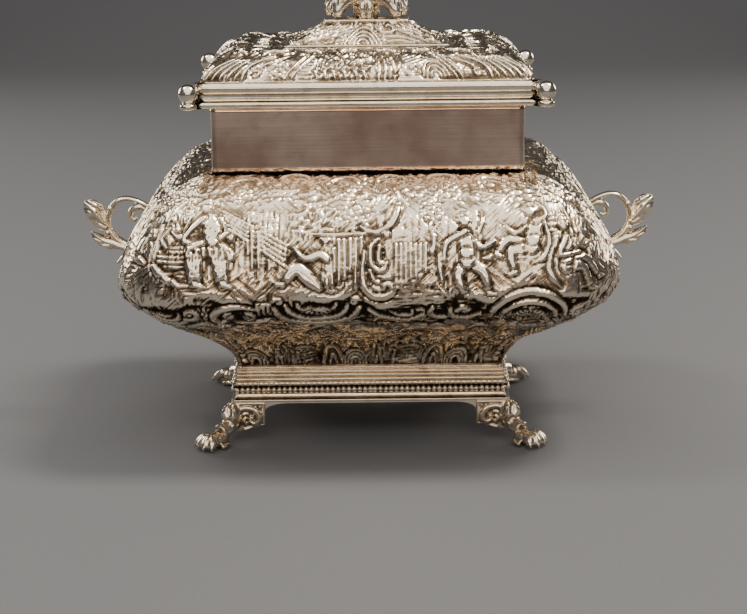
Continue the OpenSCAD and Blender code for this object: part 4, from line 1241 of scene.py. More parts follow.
def cut_corner(hw, hd, centre, r, bulge, edge, corner):
    """The front right quarter of a rectangle whose corner follows a circle, inwards or outwards."""
    cx, cy = centre
    end_x = cx - math.sqrt(r * r - (cy - hd) ** 2)
    end_y = cy - math.sqrt(r * r - (cx - hw) ** 2)
    first = math.atan2(cy - hd, end_x - cx)
    last = math.atan2(cy - end_y, hw - cx)
    if bulge:
        last += 2 * math.pi
    quarter = [(x, -hd) for x in np.linspace(0, end_x, edge, endpoint=False)]
    quarter += [(cx + r * math.cos(a), r * math.sin(a) - cy) for a in np.linspace(first, last, corner + 1)]
    quarter += [(hw, y) for y in np.linspace(-end_y, 0, edge + 1)[1:]]
    return quarter


def notched_ring(hw, hd, centre, front_r, back_r, z, edge=30, corner=16):
    """A ring round a rectangle with a round notch at each corner."""
    front = cut_corner(hw, hd, centre, front_r, False, edge, corner)
    back = cut_corner(hw, hd, centre, back_r, False, edge, corner)
    return mirror_quarter(front, z, back)


def lobed_ring(hw, hd, centre, r, z, edge=30, corner=24):
    """A ring round a rectangle with a round lobe at each corner."""
    return mirror_quarter(cut_corner(hw, hd, centre, r, True, edge, corner), z)


def mirror_quarter(quarter, z, back=None):
    """The whole ring from its front right quarter, and its back right one where they differ."""
    q = np.array(quarter)
    b = q if back is None else np.array(back)
    right = np.vstack([q, (b * (1, -1))[::-1][1:]])
    left = (right * (-1, 1))[::-1][1:-1]
    ring = np.vstack([right, left])
    return np.column_stack([ring, np.full(len(ring), z)])


def hollows(obj, rounds=6, gain=3.0, lift=0.05):
    """How hollow each point lies among its neighbours, 0 to 1."""
    mesh = obj.data
    count = len(mesh.vertices)
    place = np.empty(count * 3)
    mesh.vertices.foreach_get("co", place)
    place = place.reshape(-1, 3) / MM
    normal = np.empty(count * 3)
    mesh.vertices.foreach_get("normal", normal)
    pairs = np.empty(len(mesh.edges) * 2, dtype=np.int32)
    mesh.edges.foreach_get("vertices", pairs)
    a, b = pairs.reshape(-1, 2).T
    many = np.maximum(np.bincount(np.concatenate([a, b]), minlength=count), 1)[:, None]
    level = place.copy()
    for _ in range(rounds):
        total = np.zeros_like(level)
        np.add.at(total, a, level[b])
        np.add.at(total, b, level[a])
        level = total / many
    depth = ((level - place) * normal.reshape(-1, 3)).sum(1)
    return np.clip(depth * gain + lift, 0, 1)


def face_out(obj):
    """Turns every face of a closed mesh to look outwards."""
    work = bmesh.new()
    work.from_mesh(obj.data)
    bmesh.ops.recalc_face_normals(work, faces=work.faces)
    if work.calc_volume(signed=True) < 0:
        bmesh.ops.reverse_faces(work, faces=work.faces)
    work.to_mesh(obj.data)
    work.free()


def wavy(points, amount, seed):
    """Small slow dents, so that no face is dead flat."""
    shift = np.random.default_rng(seed).uniform(0, 2 * math.pi, 6)
    x, y, z = points.T
    wave = (np.sin(x / 5.1 + shift[0]) * np.sin(y / 6.3 + shift[1])
            + np.sin(x / 11.0 + y / 13.0 + shift[2]) + 0.5 * np.sin(z / 1.9 + x / 3.7 + shift[3]))
    away = points * (1, 1, 0)
    away /= np.maximum(np.linalg.norm(away, axis=1, keepdims=True), 1e-6)
    return points - away * (np.abs(wave) * amount)[:, None]


def swept(name, rings, seed=1, dents=0.03, gain=3.0):
    """A closed band through rings that run once round its section."""
    rows, cols = len(rings), len(rings[0])
    verts = wavy(np.concatenate(rings), dents, seed)
    faces = grid_faces(rows + 1, cols)
    faces = [[v % (rows * cols) for v in f] for f in faces]
    obj = make_object(name, verts, faces)
    face_out(obj)
    tint(obj, hollows(obj, 3, gain, 0.03))
    return obj


def close_ends(faces, rings, segments, low, high):
    """Closes the first and last rings of a grid with fans to two points."""
    last = (rings - 1) * segments
    for i in range(segments):
        k = (i + 1) % segments
        faces.append([k, i, low])
        faces.append([last + i, last + k, high])


def lathe(name, profile, centre, segments=40, dents=0.0):
    """A turned piece from (radius, height) points; the first and last lie on the axis."""
    rings = [[(centre[0] + r * math.cos(a), centre[1] + r * math.sin(a), z)
              for a in np.linspace(0, 2 * math.pi, segments, endpoint=False)]
             for r, z in profile[1:-1]]
    verts = np.concatenate(rings)
    faces = grid_faces(len(rings), segments)
    ends = [(centre[0], centre[1], profile[0][1]), (centre[0], centre[1], profile[-1][1])]
    verts = np.vstack([verts, ends])
    close_ends(faces, len(rings), segments, len(verts) - 2, len(verts) - 1)
    if dents:
        verts = wavy(verts - (*centre, 0), dents, 5) + (*centre, 0)
    obj = make_object(name, verts, faces)
    face_out(obj)
    tint(obj, hollows(obj, 3, 3.0, 0.03))
    return obj


def ellipsoid(centre, radii, turn=0.0, tip=0.0, segments=20):
    """A closed oval: turn is degrees about Z, tip is degrees nose up along its own length."""
    lat = np.linspace(-math.pi / 2, math.pi / 2, segments // 2 + 1)[1:-1]
    lon = np.linspace(0, 2 * math.pi, segments, endpoint=False)
    ring = [(math.cos(a) * math.cos(b), math.cos(a) * math.sin(b), math.sin(a))
            for a in lat for b in lon]
    verts = np.array(ring + [(0, 0, -1), (0, 0, 1)]) * radii
    faces = grid_faces(len(lat), segments)
    close_ends(faces, len(lat), segments, len(verts) - 2, len(verts) - 1)
    spin = Matrix.Rotation(math.radians(turn), 3, "Z") @ Matrix.Rotation(-math.radians(tip), 3, "Y")
    return verts @ np.array(spin).T + centre, faces


def strand(points, radii, flat=1.0, sides=14, per_span=6):
    """A round closed strand along a curve in space; flat widens its section across the curve."""
    radii = np.broadcast_to(np.asarray(radii, float), (len(points),))
    line = spline([(*p, r) for p, r in zip(points, radii)], per_span)
    path, size = line[:, :3], np.maximum(line[:, 3], 0.05)
    along = np.gradient(path, axis=0)
    along /= np.maximum(np.linalg.norm(along, axis=1, keepdims=True), 1e-9)
    across = np.array([0.0, 1.0, 0.0])
    if abs(along[:, 1]).max() > 0.9:
        # A curve that runs along Y needs another direction to set its section by.
        across = np.array([0.31, 0.12, 0.94])
    u = np.cross(along, across)
    u /= np.maximum(np.linalg.norm(u, axis=1, keepdims=True), 1e-9)
    w = np.cross(u, along)
    a = np.linspace(0, 2 * math.pi, sides, endpoint=False)
    rings = (path[:, None] + size[:, None, None]
             * (u[:, None] * np.cos(a)[None, :, None] + flat * w[:, None] * np.sin(a)[None, :, None]))
    verts = rings.reshape(-1, 3)
    faces = grid_faces(len(path), sides)
    faces.append(list(range(sides))[::-1])
    last = (len(path) - 1) * sides
    faces.append([last + i for i in range(sides)])
    return verts, faces


def blade(points, half, up, cup=0.3, lobes=4, notch=0.3, thick=0.45, veins=0.25, fold=0.2):
    """A leaf or petal with a scalloped edge, along a spine. half is its half width along the
    spine, up is the side it shows, and cup bends its edges away from that side."""
    line = spline([(*p, w) for p, w in zip(points, half)], 8)
    path, width = line[:, :3], line[:, 3]
    n = len(path)
    t = np.linspace(0, 1, n)
    along = np.gradient(path, axis=0)
    along /= np.linalg.norm(along, axis=1, keepdims=True)
    side = np.cross(along, np.broadcast_to(up, along.shape))
    side /= np.maximum(np.linalg.norm(side, axis=1, keepdims=True), 1e-9)
    face = np.cross(side, along)
    scallop = 1 - notch * (0.5 + 0.5 * np.cos(2 * math.pi * lobes * t))
    width = np.maximum(width * scallop, 0.15)
    w = np.linspace(-1, 1, 17)
    sweep = np.abs(w)[None, :] * width[:, None] * 0.35
    rib = veins * np.cos(2 * math.pi * (lobes * t[:, None] - 0.6 * np.abs(w)[None, :]))
    rib = rib * np.minimum(np.abs(w) * 2, 1)[None, :]
    height = -cup * w[None, :] ** 2 * width[:, None] - rib * thick
    height = height + fold * np.exp(-(w[None, :] / 0.16) ** 2)
    sheet = (path[:, None] + side[:, None] * (w[None, :, None] * width[:, None, None])
             + along[:, None] * sweep[..., None] + face[:, None] * height[..., None])
    thin = thick * (1 - 0.5 * np.abs(w))[None, :, None]
    top = sheet + face[:, None] * thin
    low = sheet - face[:, None] * thin
    loop = np.concatenate([top, low[:, ::-1]], axis=1)
    cols = loop.shape[1]
    faces = grid_faces(n, cols)
    faces.append(list(range(cols))[::-1])
    faces.append([(n - 1) * cols + i for i in range(cols)])
    return loop.reshape(-1, 3), faces


def prism(outline, low, high, place):
    """A closed plate: place(u, v, depth) puts outline points in space."""
    n = len(outline)
    verts = [place(u, v, d) for d in (low, high) for u, v in outline]
    faces = [list(range(n))[::-1], list(range(n, 2 * n))]
    faces += [[i, (i + 1) % n, n + (i + 1) % n, n + i] for i in range(n)]
    return np.array(verts, float), faces


def fuse(name, parts, voxel=0.25, rounds=2, gain=2.2, low=None, high=None):
    """One cast piece from closed parts: joined, remeshed and smoothed, then cut to a box."""
    verts, faces, start = [], [], 0
    for points, quads in parts:
        verts.append(points)
        faces += [[v + start for v in f] for f in quads]
        start += len(points)
    rough = make_object(name + "_rough", np.concatenate(verts), faces)
    face_out(rough)
    cast = rough.modifiers.new("cast", "REMESH")
    cast.mode = "VOXEL"
    cast.voxel_size = voxel * MM
    even = rough.modifiers.new("even", "SMOOTH")
    even.iterations = rounds
    graph = bpy.context.evaluated_depsgraph_get()
    mesh = bpy.data.meshes.new_from_object(rough.evaluated_get(graph))
    bpy.data.objects.remove(rough)
    mesh.name = name
    place = np.empty(len(mesh.vertices) * 3)
    mesh.vertices.foreach_get("co", place)
    place = place.reshape(-1, 3)
    if low is not None:
        place = np.clip(place, np.array(low) * MM, np.array(high) * MM)
    mesh.vertices.foreach_set("co", place.ravel())
    mesh.polygons.foreach_set("use_smooth", [True] * len(mesh.polygons))
    mesh.update()
    obj = bpy.data.objects.new(name, mesh)
    bpy.context.scene.collection.objects.link(obj)
    tint(obj, hollows(obj, 5, gain, 0.04))
    return obj


def mirrored(obj, name, sx, sy):
    """A copy of a piece, mirrored to another corner."""
    mesh = obj.data.copy()
    mesh.name = name
    mesh.transform(Matrix.Diagonal((sx, sy, 1, 1)))
    if sx * sy < 0:
        mesh.flip_normals()
    copy = bpy.data.objects.new(name, mesh)
    bpy.context.scene.collection.objects.link(copy)
    return copy


# ------------------------------------------------------------------ neck, flange and balls

BALL_MIDDLE = (BALL_LOW + BALL_HIGH) / 2
BALL_R = (BALL_HIGH[0] - BALL_LOW[0]) / 2
BALL_Z = BALL_HIGH[2] - BALL_R


def build_neck():
    """The plain neck: a thin box, a little hollow in the middle of each face."""
    low, high = NECK_LOW[2], NECK_HIGH[2]
    levels = np.linspace(low, high, 12)
    rings = []
    for z in levels:
        belly = 0.12 * math.sin(math.pi * (z - low) / (high - low))
        rings.append(plan_ring(NECK_HW - belly, NECK_HD - belly, NECK_CORNER, z))
    for z in levels[::-1]:
        rings.append(plan_ring(NECK_HW - WALL, NECK_HD - WALL, NECK_CORNER - WALL, z))
    neck = swept("neck_box", rings, 3, 0.05)
    finish_piece(neck, BRUSHED, "casket", "polished_silver", "neck_collar")


def build_flange():
    """The flange plate, with a round lobe under each ball."""
    low, high = FLANGE_LOW[2], FLANGE_HIGH[2]
    lobe_r, overhang = 2.4, 4.0
    hw, hd = NECK_HW + overhang, NECK_HD + overhang
    centre = BALL_MIDDLE[:2]
    rings = []
    for z, inset in ((low, 0.45), (low + 0.15, 0.12), (low + 0.5, 0.0), (high - 0.5, 0.0),
                     (high - 0.15, 0.12), (high, 0.45)):
        rings.append(lobed_ring(hw - inset, hd - inset, centre, lobe_r - inset, z))
    mouth_r = NECK_CORNER - WALL
    for z in (high, low):
        rings.append(plan_ring(NECK_HW - WALL, NECK_HD - WALL, mouth_r, z, 30, 24))
    flange = swept("flange_rim", rings, 4, 0.05)
    finish_piece(flange, PLAIN, "casket", "polished_silver", "flange_plate")


def build_balls():
    """Turned balls on short seats, each with a small collar."""
    seat = FLANGE_HIGH[2]
    turn = np.linspace(-62, 90, 26)
    profile = [(0, seat - 1.5), (0.8, seat - 1.5), (0.8, seat), (1.7, seat), (1.75, seat + 0.25),
               (1.45, seat + 0.5)]
    profile += [(BALL_R * math.cos(math.radians(a)), BALL_Z + BALL_R * math.sin(math.radians(a)))
                for a in turn]
    for sx, sy, side in ((-1, -1, "front_left"), (1, -1, "front_right"),
                         (-1, 1, "back_left"), (1, 1, "back_right")):
        centre = (sx * BALL_MIDDLE[0], sy * BALL_MIDDLE[1])
        ball = lathe("ball_" + side, profile, centre, 40, 0.02)
        finish_piece(ball, PLAIN, "casket", "polished_silver", "corner_ball_" + side)


# ------------------------------------------------------------------ plinth

PLINTH_HW, PLINTH_HD = PLINTH_HIGH[0], PLINTH_HIGH[1]
PLINTH_WALL = 3.4       # how far the plinth's mouldings reach inwards


def plinth_moulding(name, profile, corner, seed, nodes):
    """A moulding round the plinth from (out, height) points, softened and swept."""
    rings = [plan_ring(PLINTH_HW + out, PLINTH_HD + out, max(corner + out, 0.3), z, 36, 6)
             for out, z in soften(profile, 0.22)]
    obj = swept(name, rings, seed, 0.035, 5.0)
    finish_piece(obj, PLAIN, "casket", "polished_silver", *nodes)


def build_plinth():
    """The stepped fillets under the waist, and the coved band under the beads."""
    cove_r = 1.8
    low, z1 = STEP_LOW[2], STEP_HIGH[2]
    back = -PLINTH_WALL
    out = WAIST_HW - PLINTH_HW + 0.5
    plinth_moulding("step_fillets", [
        (back, low), (-0.75, low), (-0.7, low + 0.35), (-1.0, low + 0.75), (-1.6, low + 0.9),
        (out + 0.35, low + 1.05), (out + 0.35, low + 1.75), (out - 0.5, low + 1.95),
        (out, low + 2.15), (out, low + 2.65), (out - 0.7, low + 2.8), (out - 0.5, z1), (back, z1)],
        2.0, 11, ["foot_step"])
    low, high = PLINTH_LOW[2], PLINTH_HIGH[2]
    cove = [(0.2 + cove_r * math.cos(math.radians(a)), high + cove_r * math.sin(math.radians(a)))
            for a in np.linspace(258, 190, 7)]
    plinth_moulding("plinth_cove", [(back, low), (0, low), (0, low + 0.65)] + cove + [(back, high)],
                    1.0, 12, ["plinth_band"])


def bead_line(inset, z, pitch, size, tall, random):
    """Small cast beads in a row round the plinth, each a little different."""
    line = plan_ring(PLINTH_HW - inset, PLINTH_HD - inset, 0.8, z, 200, 12)
    steps = np.linalg.norm(np.diff(np.vstack([line, line[:1]]), axis=0), axis=1)
    length = np.concatenate([[0], np.cumsum(steps)])
    count = int(round(length[-1] / pitch))
    for k in range(count):
        at = np.interp(k / count * length[-1], length, np.arange(len(length))) % len(line)
        x, y, z = line[int(at)]
        grow = random.uniform(0.93, 1.03)
        along, out, up = size * grow, 0.9, tall * grow
        radii = (along, out, up) if abs(x) < PLINTH_HW - 1.2 else (out, along, up)
        yield ellipsoid((x, y, z + random.uniform(-0.05, 0.05)), radii, 0, 0, 12)


def build_beads():
    """A row of beads under a finely reeded band, on one strip."""
    low, high = BEAD_LOW[2], BEAD_HIGH[2]
    tall = high - low
    bead_z = low + 0.275 * tall
    band_z = low + 0.76 * tall
    profile = soften([(-PLINTH_WALL, low), (-0.8, low), (-0.8, low + 0.2), (-1.15, low + 0.3),
                      (-1.15, band_z - 1.0), (-0.85, band_z - 0.8), (-0.3, band_z - 0.45),
                      (-0.15, band_z), (-0.35, band_z + 0.5), (-0.9, high), (-PLINTH_WALL, high)], 0.15)
    rings = [plan_ring(PLINTH_HW + out, PLINTH_HD + out, max(1.8 + out, 0.3), z, 36, 6)
             for out, z in profile]
    strip = wavy(np.concatenate(rings), 0.03, 13)
    total = len(strip)
    faces = [[v % total for v in f] for f in grid_faces(len(rings) + 1, len(rings[0]))]
    parts, start = [strip], total
    random = np.random.default_rng(21)
    for row in (bead_line(0.72, bead_z, 1.58, 0.82, 0.98, random),
                bead_line(0.80, band_z, 1.58, 0.6, 0.8, random)):
        for verts, quads in row:
            parts.append(verts)
            faces += [[v + start for v in f] for f in quads]
            start += len(verts)
    obj = make_object("bead_row", np.concatenate(parts), faces)
    face_out(obj)
    place = np.concatenate(parts)
    depth = np.minimum(PLINTH_HW - np.abs(place[:, 0]), PLINTH_HD - np.abs(place[:, 1]))
    lower_face = np.where(place[:, 2] < band_z - 0.8, 0.7, 0.3)
    tint(obj, np.clip((depth - 0.35) * 1.1, 0, 1) * lower_face)
    finish_piece(obj, PLAIN, "casket", "polished_silver", "bead_strip")


# ------------------------------------------------------------------ feet

FOOT_H = PLINTH_LOW[2]


def on_panel(side):
    """Puts (distance from the corner, height, how far out) on one face of the corner bracket."""
    def place(u, z, out):
        """One point in space."""
        if side:
            return (PLINTH_HW + out, PLINTH_HD - u, z)
        return (PLINTH_HW - u, PLINTH_HD + out, z)
    return place


def foot_parts():
    """The back right foot: two bracket panels with a raised scroll, a leafy knee and a paw."""
    parts = []
    lower = [(cubic(2, 4, 6, 10, t), cubic(3.2, 4.2, 5.1, 5.7, t)) for t in np.linspace(0, 1, 9)]
    for side in (0, 1):
        place = on_panel(side)
        outline = [(0.2, FOOT_H), (0.2, 3.6)] + lower + [(10, FOOT_H)]
        parts.append(prism(outline, -1.8, -0.45, place))

        def raised(points, radii, out=-0.35):
            """A strand laid on this panel."""
            parts.append(strand([place(u, z, out) for u, z in points], radii, 1.0, 12, 5))

        raised([(-0.2, 12.1), (5, 12.1), (9.9, 12.1)], 0.5, -0.2)
        raised([(9.5, 12.1), (9.5, 9), (9.5, 6.2)], 0.55, -0.25)
        raised(lower[2:], 0.42)
        raised([(1.6, 5.6), (1.0, 7.4), (1.7, 9.5), (3.7, 10.7), (6.2, 10.4), (7.9, 8.9),
                (8.1, 7.0), (6.9, 6.0), (5.6, 6.5), (5.6, 7.6), (6.4, 7.8)],
               [0.4, 0.62, 0.75, 0.82, 0.95, 1.05, 0.95, 0.75, 0.55, 0.45, 0.5], -0.1)
        raised([(2.4, 6.4), (2.7, 8.2), (4.2, 9.0), (5.3, 8.4)], [0.4, 0.55, 0.5, 0.3], -0.3)
        raised([(4.4, 5.6), (3.6, 6.8), (4.3, 7.8)], [0.5, 0.5, 0.35], -0.25)
        for u, z, r in ((0.6, 11.0, 0.7), (1.9, 11.3, 0.5), (8.6, 11.2, 0.5), (7.4, 11.4, 0.4)):
            parts.append(ellipsoid(place(u, z, -0.2), (r, r, r * 0.8)))
    corner = np.array([PLINTH_HW, PLINTH_HD, 0])
    diagonal = np.array([1, 1, 0]) / math.sqrt(2)
    across = np.array([-1, 1, 0]) / math.sqrt(2)

    def leg(out, z, sideways=0.0):
        """A point out along the corner's diagonal."""
        return tuple(corner + diagonal * out + across * sideways + (0, 0, z))

    parts.append(strand([leg(-2.4, 11.0), leg(-0.8, 8.6), leg(0.2, 6.6), leg(2.2, 5.2), leg(4.6, 4.2)],
                        [2.2, 2.5, 2.5, 2.4, 2.6], 1.0, 18))
    for sideways, lean in ((0, 0), (-1.7, -1), (1.7, 1)):
        reach = 1.0 if sideways == 0 else 0.55
        spine = [leg(-0.3, 12.0, sideways * 0.5), leg(1.6 * reach, 10.6, sideways),
                 leg(2.6 * reach, 8.4, sideways * 1.3), leg(1.6 * reach, 6.4, sideways * 1.2),
                 leg(2.6 * reach + 0.6, 5.6, sideways * 1.1)]
        parts.append(blade(spine, [0.6, 1.3, 1.5, 1.1, 0.4], diagonal + across * lean * 0.7, 0.35,
                           4, 0.35, 0.5, 0.5, 0.3))
    for k in range(3):
        for sideways in (-1, 1):
            parts.append(strand([leg(1.2 + k, 5.6 - 0.4 * k, sideways * 2.0),
                                 leg(2.6 + k, 4.2 - 0.3 * k, sideways * 2.4)], [0.5, 0.25], 1, 8, 3))
    paw = 7.05
    parts.append(ellipsoid(leg(paw - 1.2, 2.6), (3.6, 3.0, 2.5), 45))
    parts.append(ellipsoid(leg(paw - 4.0, 1.3), (1.5, 1.5, 1.3), 45))
    parts.append(strand([leg(paw - 4.2, 1.4), leg(paw - 2.6, 1.0, 2.4), leg(paw, 0.9, 3.6)],
                        [0.9, 0.8, 0.6], 1, 10, 5))
    parts.append(strand([leg(paw - 4.2, 1.4), leg(paw - 2.6, 1.0, -2.4), leg(paw, 0.9, -3.6)],
                        [0.9, 0.8, 0.6], 1, 10, 5))
    for k in (-1.5, -0.5, 0.5, 1.5):
        a = math.radians(27 * k)
        way = np.array([math.cos(a), math.sin(a)])

        def toe(span, z):
            """A point along this toe."""
            return leg(paw + way[0] * span, z, way[1] * span)

        parts.append(strand([toe(0.2, 3.6), toe(2.4, 3.5), toe(4.2, 2.2), toe(4.6, 1.2)],
                            [1.2, 1.45, 1.4, 1.1], 1.0, 14))
        parts.append(ellipsoid(toe(2.3, 4.2), (0.9, 0.9, 0.8)))
        parts.append(strand([toe(4.6, 2.4), toe(5.6, 1.5), toe(5.9, 0.5)], [0.75, 0.5, 0.2], 1, 10, 4))
    return parts


def build_feet():
    """One cast foot, mirrored to the other three corners."""
    bracket, reach = 10, 11.2
    low = (PLINTH_HW - bracket, PLINTH_HD - bracket, 0)
    high = (PLINTH_HW + reach, PLINTH_HD + reach, FOOT_H)
    first = fuse("paw_foot_back_right", foot_parts(), 0.26, 1, 2.4, low, high)
    finish_piece(first, CAST, "casket", "cast_silver", "foot_back_right")
    for sx, sy, side in ((-1, -1, "front_left"), (1, -1, "front_right"), (-1, 1, "back_left")):
        foot = mirrored(first, "paw_foot_" + side, sx, sy)
        finish_piece(foot, CAST, "casket", "cast_silver", "foot_" + side)


# ------------------------------------------------------------------ handles

def handle_parts():
    """The right handle: a ring of two strands, two leaves outside, a curl and a tail inside."""
    def at(dx, dz, y=0.0):
        """A point measured from the belly's widest line."""
        return (BELLY_HW + dx, y, Z_PEAK + dz)

    def along(a, b, c, d, n=7):
        """Points on a cubic curve."""
        return [at(*[cubic(p, q, r, s, t) for p, q, r, s in zip(a, b, c, d)])
                for t in np.linspace(0, 1, n)]

    parts = [
        strand(along((-8, 13), (-4, 15), (1.5, 19.6), (5.6, 14.6)), np.linspace(0.7, 0.85, 7), 1.8),
        strand(along((5.0, 15.3), (9, 9.5), (7.6, 4), (-2, 1)), np.linspace(0.8, 1.3, 7), 1.6),
        strand([at(-4.6, 13.4), at(-2.6, 14.2), at(-0.5, 13.3), at(0.1, 11.4), at(-1.0, 10.2),
                at(-2.2, 11.0)], [0.9, 1.05, 0.95, 0.8, 0.65, 0.55], 1.4),
        strand([at(0.4, 1.2), at(3.4, 2.2), at(6.2, 3.4), at(9.4, 4.8), at(12.0, 6.4)],
               [1.3, 1.3, 1.2, 1.0, 0.35], 1.9, 16),
        strand([at(-1.5, 0.5), at(1, -0.2), at(3, -1.7), at(4.7, -3.4)], [1.2, 1.0, 0.7, 0.3], 1.6),
        strand([at(7.4, 7.8), at(9.4, 9.0), at(11.6, 12.0), at(13.6, 15.2)], [1.5, 1.7, 1.4, 0.5],
               1.5, 16),
    ]
    for y in (-1, 1):
        parts.append(blade([at(7.2, 8.4, y * 0.9), at(9.2, 10.8, y * 1.7), at(11.4, 13.8, y * 1.9),
                            at(13.9, 15.7, y * 0.5)],
                           [1.7, 3.0, 2.7, 0.6], (-0.2, y * 0.9, 0.15), 0.25, 3, 0.16, 0.6, 0.25, 0.5))
        parts.append(blade([at(4.0, 2.0, y * 1.2), at(7.0, 3.2, y * 1.7), at(9.8, 4.6, y * 1.4),
                            at(12.2, 6.4, y * 0.2)],
                           [1.0, 1.6, 1.4, 0.4], (-0.2, y * 0.8, 0.5), 0.25, 3, 0.16, 0.5, 0.25, 0.4))
        parts.append(strand([at(8.8, 13.6, y * 1.3), at(10.4, 15.0, y * 1.6), at(12.2, 15.9, y * 1.2),
                             at(13.8, 15.9, y * 0.3)], [0.5, 0.75, 0.75, 0.4], 1.0, 12))
        parts.append(ellipsoid(at(6.3, 13.9, y * 1.1), (0.7, 0.7, 0.7)))
        parts.append(ellipsoid(at(7.2, 6.4, y * 1.3), (0.9, 0.9, 0.9)))
    return parts


def build_handles():
    """The right handle and its mirror image."""
    root, half_depth = 12, 4
    low = (BELLY_HW - root, -half_depth, HANDLE_LOW[2])
    high = (HANDLE_HIGH[0], half_depth, HANDLE_HIGH[2])
    right = fuse("scroll_handle_right", handle_parts(), 0.2, 1, 2.4, low, high)
    finish_piece(right, CAST, "casket", "cast_silver", "handle_right")
    left = mirrored(right, "scroll_handle_left", -1, 1)
    finish_piece(left, CAST, "casket", "cast_silver", "handle_left")


# ------------------------------------------------------------------ lid

LID_CELL = 0.36                         # size of one cell of the lid's relief
RIM_HW, RIM_HD = 49.0, 38.1             # half width and depth of the rim
TIER_INSET = 1.2                        # from the rim's edge in to the lower tier's foot
CREST_HW, CREST_HD = 36.7, 25.85        # half width and depth at the lower tier's crest
SEAT = 3.0                              # how far the lower tier runs in under the upper one
UPPER_HW, UPPER_HD = UPPER_HIGH[0], UPPER_HIGH[1]
TOP_HW, TOP_HD = 12.5, 6.5              # half width and depth of the upper tier's flat top
LID_WALL = 1.2                          # thickness of the lid's sheet


def build_rim():
    """The lid's rim: a bold bead over a hollow and a fillet, cut back round each ball."""
    low, high = RIM_LOW[2], RIM_HIGH[2]
    bead_r = 1.75
    front_notch_r, back_notch_r = BALL_R + 0.5, BALL_R + 2.2
    bead = [(bead_r * math.cos(math.radians(a)) - bead_r,
             high - bead_r + bead_r * math.sin(math.radians(a))) for a in np.linspace(-62, 88, 12)]
    face = [(-1.5, low), (-1.3, low + 0.15), (-1.3, low + 0.7)]
    hollow = [(-1.15, low + 1.0), (-0.85, low + 1.6), (-0.95, low + 1.85)]
    centre = BALL_MIDDLE[:2]
    rings = [notched_ring(RIM_HW + out, RIM_HD + out, centre, front_notch_r, back_notch_r, z)
             for out, z in face + hollow + bead]
    inner = BEZEL_HIGH[:2]
    for z in (high, (low + high) / 2, low):
        rings.append(plan_ring(inner[0], inner[1], 0.8, z, 30, 16))
    rim = swept("lid_rim_moulding", rings, 6, 0.05, 4.0)
    finish_piece(rim, PLAIN, "lid", "polished_silver", "lid_rim")


def lower_tier_section():
    """The lower tier's flank, from the rim over the crest, and the dish inside it."""
    z0, crest = LOWER_LOW[2], LOWER_HIGH[2]
    hw, hd = RIM_HW - TIER_INSET, RIM_HD - TIER_INSET
    t = np.linspace(0, 1, 60)
    dish = np.linspace(0, 1, 40)[1:]
    return [np.concatenate(pair) for pair in (
        (cubic(hw, hw - 1, CREST_HW + 4.5, CREST_HW, t), mix(CREST_HW, UPPER_HW - SEAT, dish)),
        (cubic(hd, hd - 1, CREST_HD + 4.5, CREST_HD, t), mix(CREST_HD, UPPER_HD - SEAT, dish)),
        (mix(3.0, SHARP, t), np.full(len(dish), SHARP)),
        (cubic(z0, z0 + 4, crest - 1.2, crest, t),
         mix(crest, UPPER_LOW[2], np.sin(np.minimum(dish * 1.25, 1) * math.pi / 2))))]


def upper_tier_section():
    """The upper tier's ogee flank, from its foot to the flat top."""
    z0, top = UPPER_LOW[2], UPPER_HIGH[2]
    t = np.linspace(0, 1, 60)
    return (cubic(UPPER_HW, UPPER_HW - 1, TOP_HW + 4, TOP_HW, t),
            cubic(UPPER_HD, UPPER_HD - 1, TOP_HD + 3, TOP_HD, t),
            np.full(len(t), SHARP), cubic(z0, z0 + 2.5, top - 4, top, t))


def corner_leaves(art, s, v, flip=False):
    """Feathered leaves that fill the end of a lid panel, next to its corner."""
    for k in range(5):
        art.at(s, v, 1.0, flip)
        art.stroke([(0.6 + 2.1 * k, 0.8), (1.9 + 2.1 * k, 4.6), (4.6 + 1.7 * k, 8.6 - 0.3 * k)],
                   [0.35, 0.75, 0.4], 0.65, 0.4, 0.35)
    art.stroke([(11.2, 0.6), (11.6, 5.0), (13.6, 8.0), (17.0, 9.8)], [0.5, 0.8, 0.85, 0.4], 0.8, 0.5)
    art.stroke([(14.4, 3.4), (16.2, 6.2), (19.6, 8.4)], [0.4, 0.7, 0.3], 0.7, 0.45)
    art.volute(14.6, 2.4, 1.5, 1.0, 120, -1, 0.5, 0.6)


def little_people(art, s, v, count, seed):
    """A packed row of tiny people and animals, with leaves over them."""
    random = np.random.default_rng(seed)
    art.at(s, v)
    for k in range(count):
        x = 2.9 * k + random.uniform(-0.4, 0.4)
        tall = random.uniform(0.85, 1.1)
        lean = random.uniform(-0.7, 0.7)
        art.stroke([(x + lean, 4.6 * tall), (x, 2.6), (x - 0.8, 0.2)], [0.65, 0.95, 0.45], 0.75, 0.5, 0.3)
        art.stroke([(x, 2.8), (x + 0.9, 0.2)], [0.7, 0.45], 0.7, 0.45, 0.3)
        art.stroke([(x + lean, 4.4 * tall), (x + 1.5 + lean, 3.6), (x + 2.1, 4.6)], [0.45, 0.4, 0.3],
                   0.7, 0.4, 0.28)
        art.blob(x + lean * 1.2, 5.9 * tall, 0.72, 0.85, 0, 0.9, 0.5, 0.3)
    art.stipple((-1, 7.4), (2.9 * count, 11.6), 1.35, 0.85, 0.5)


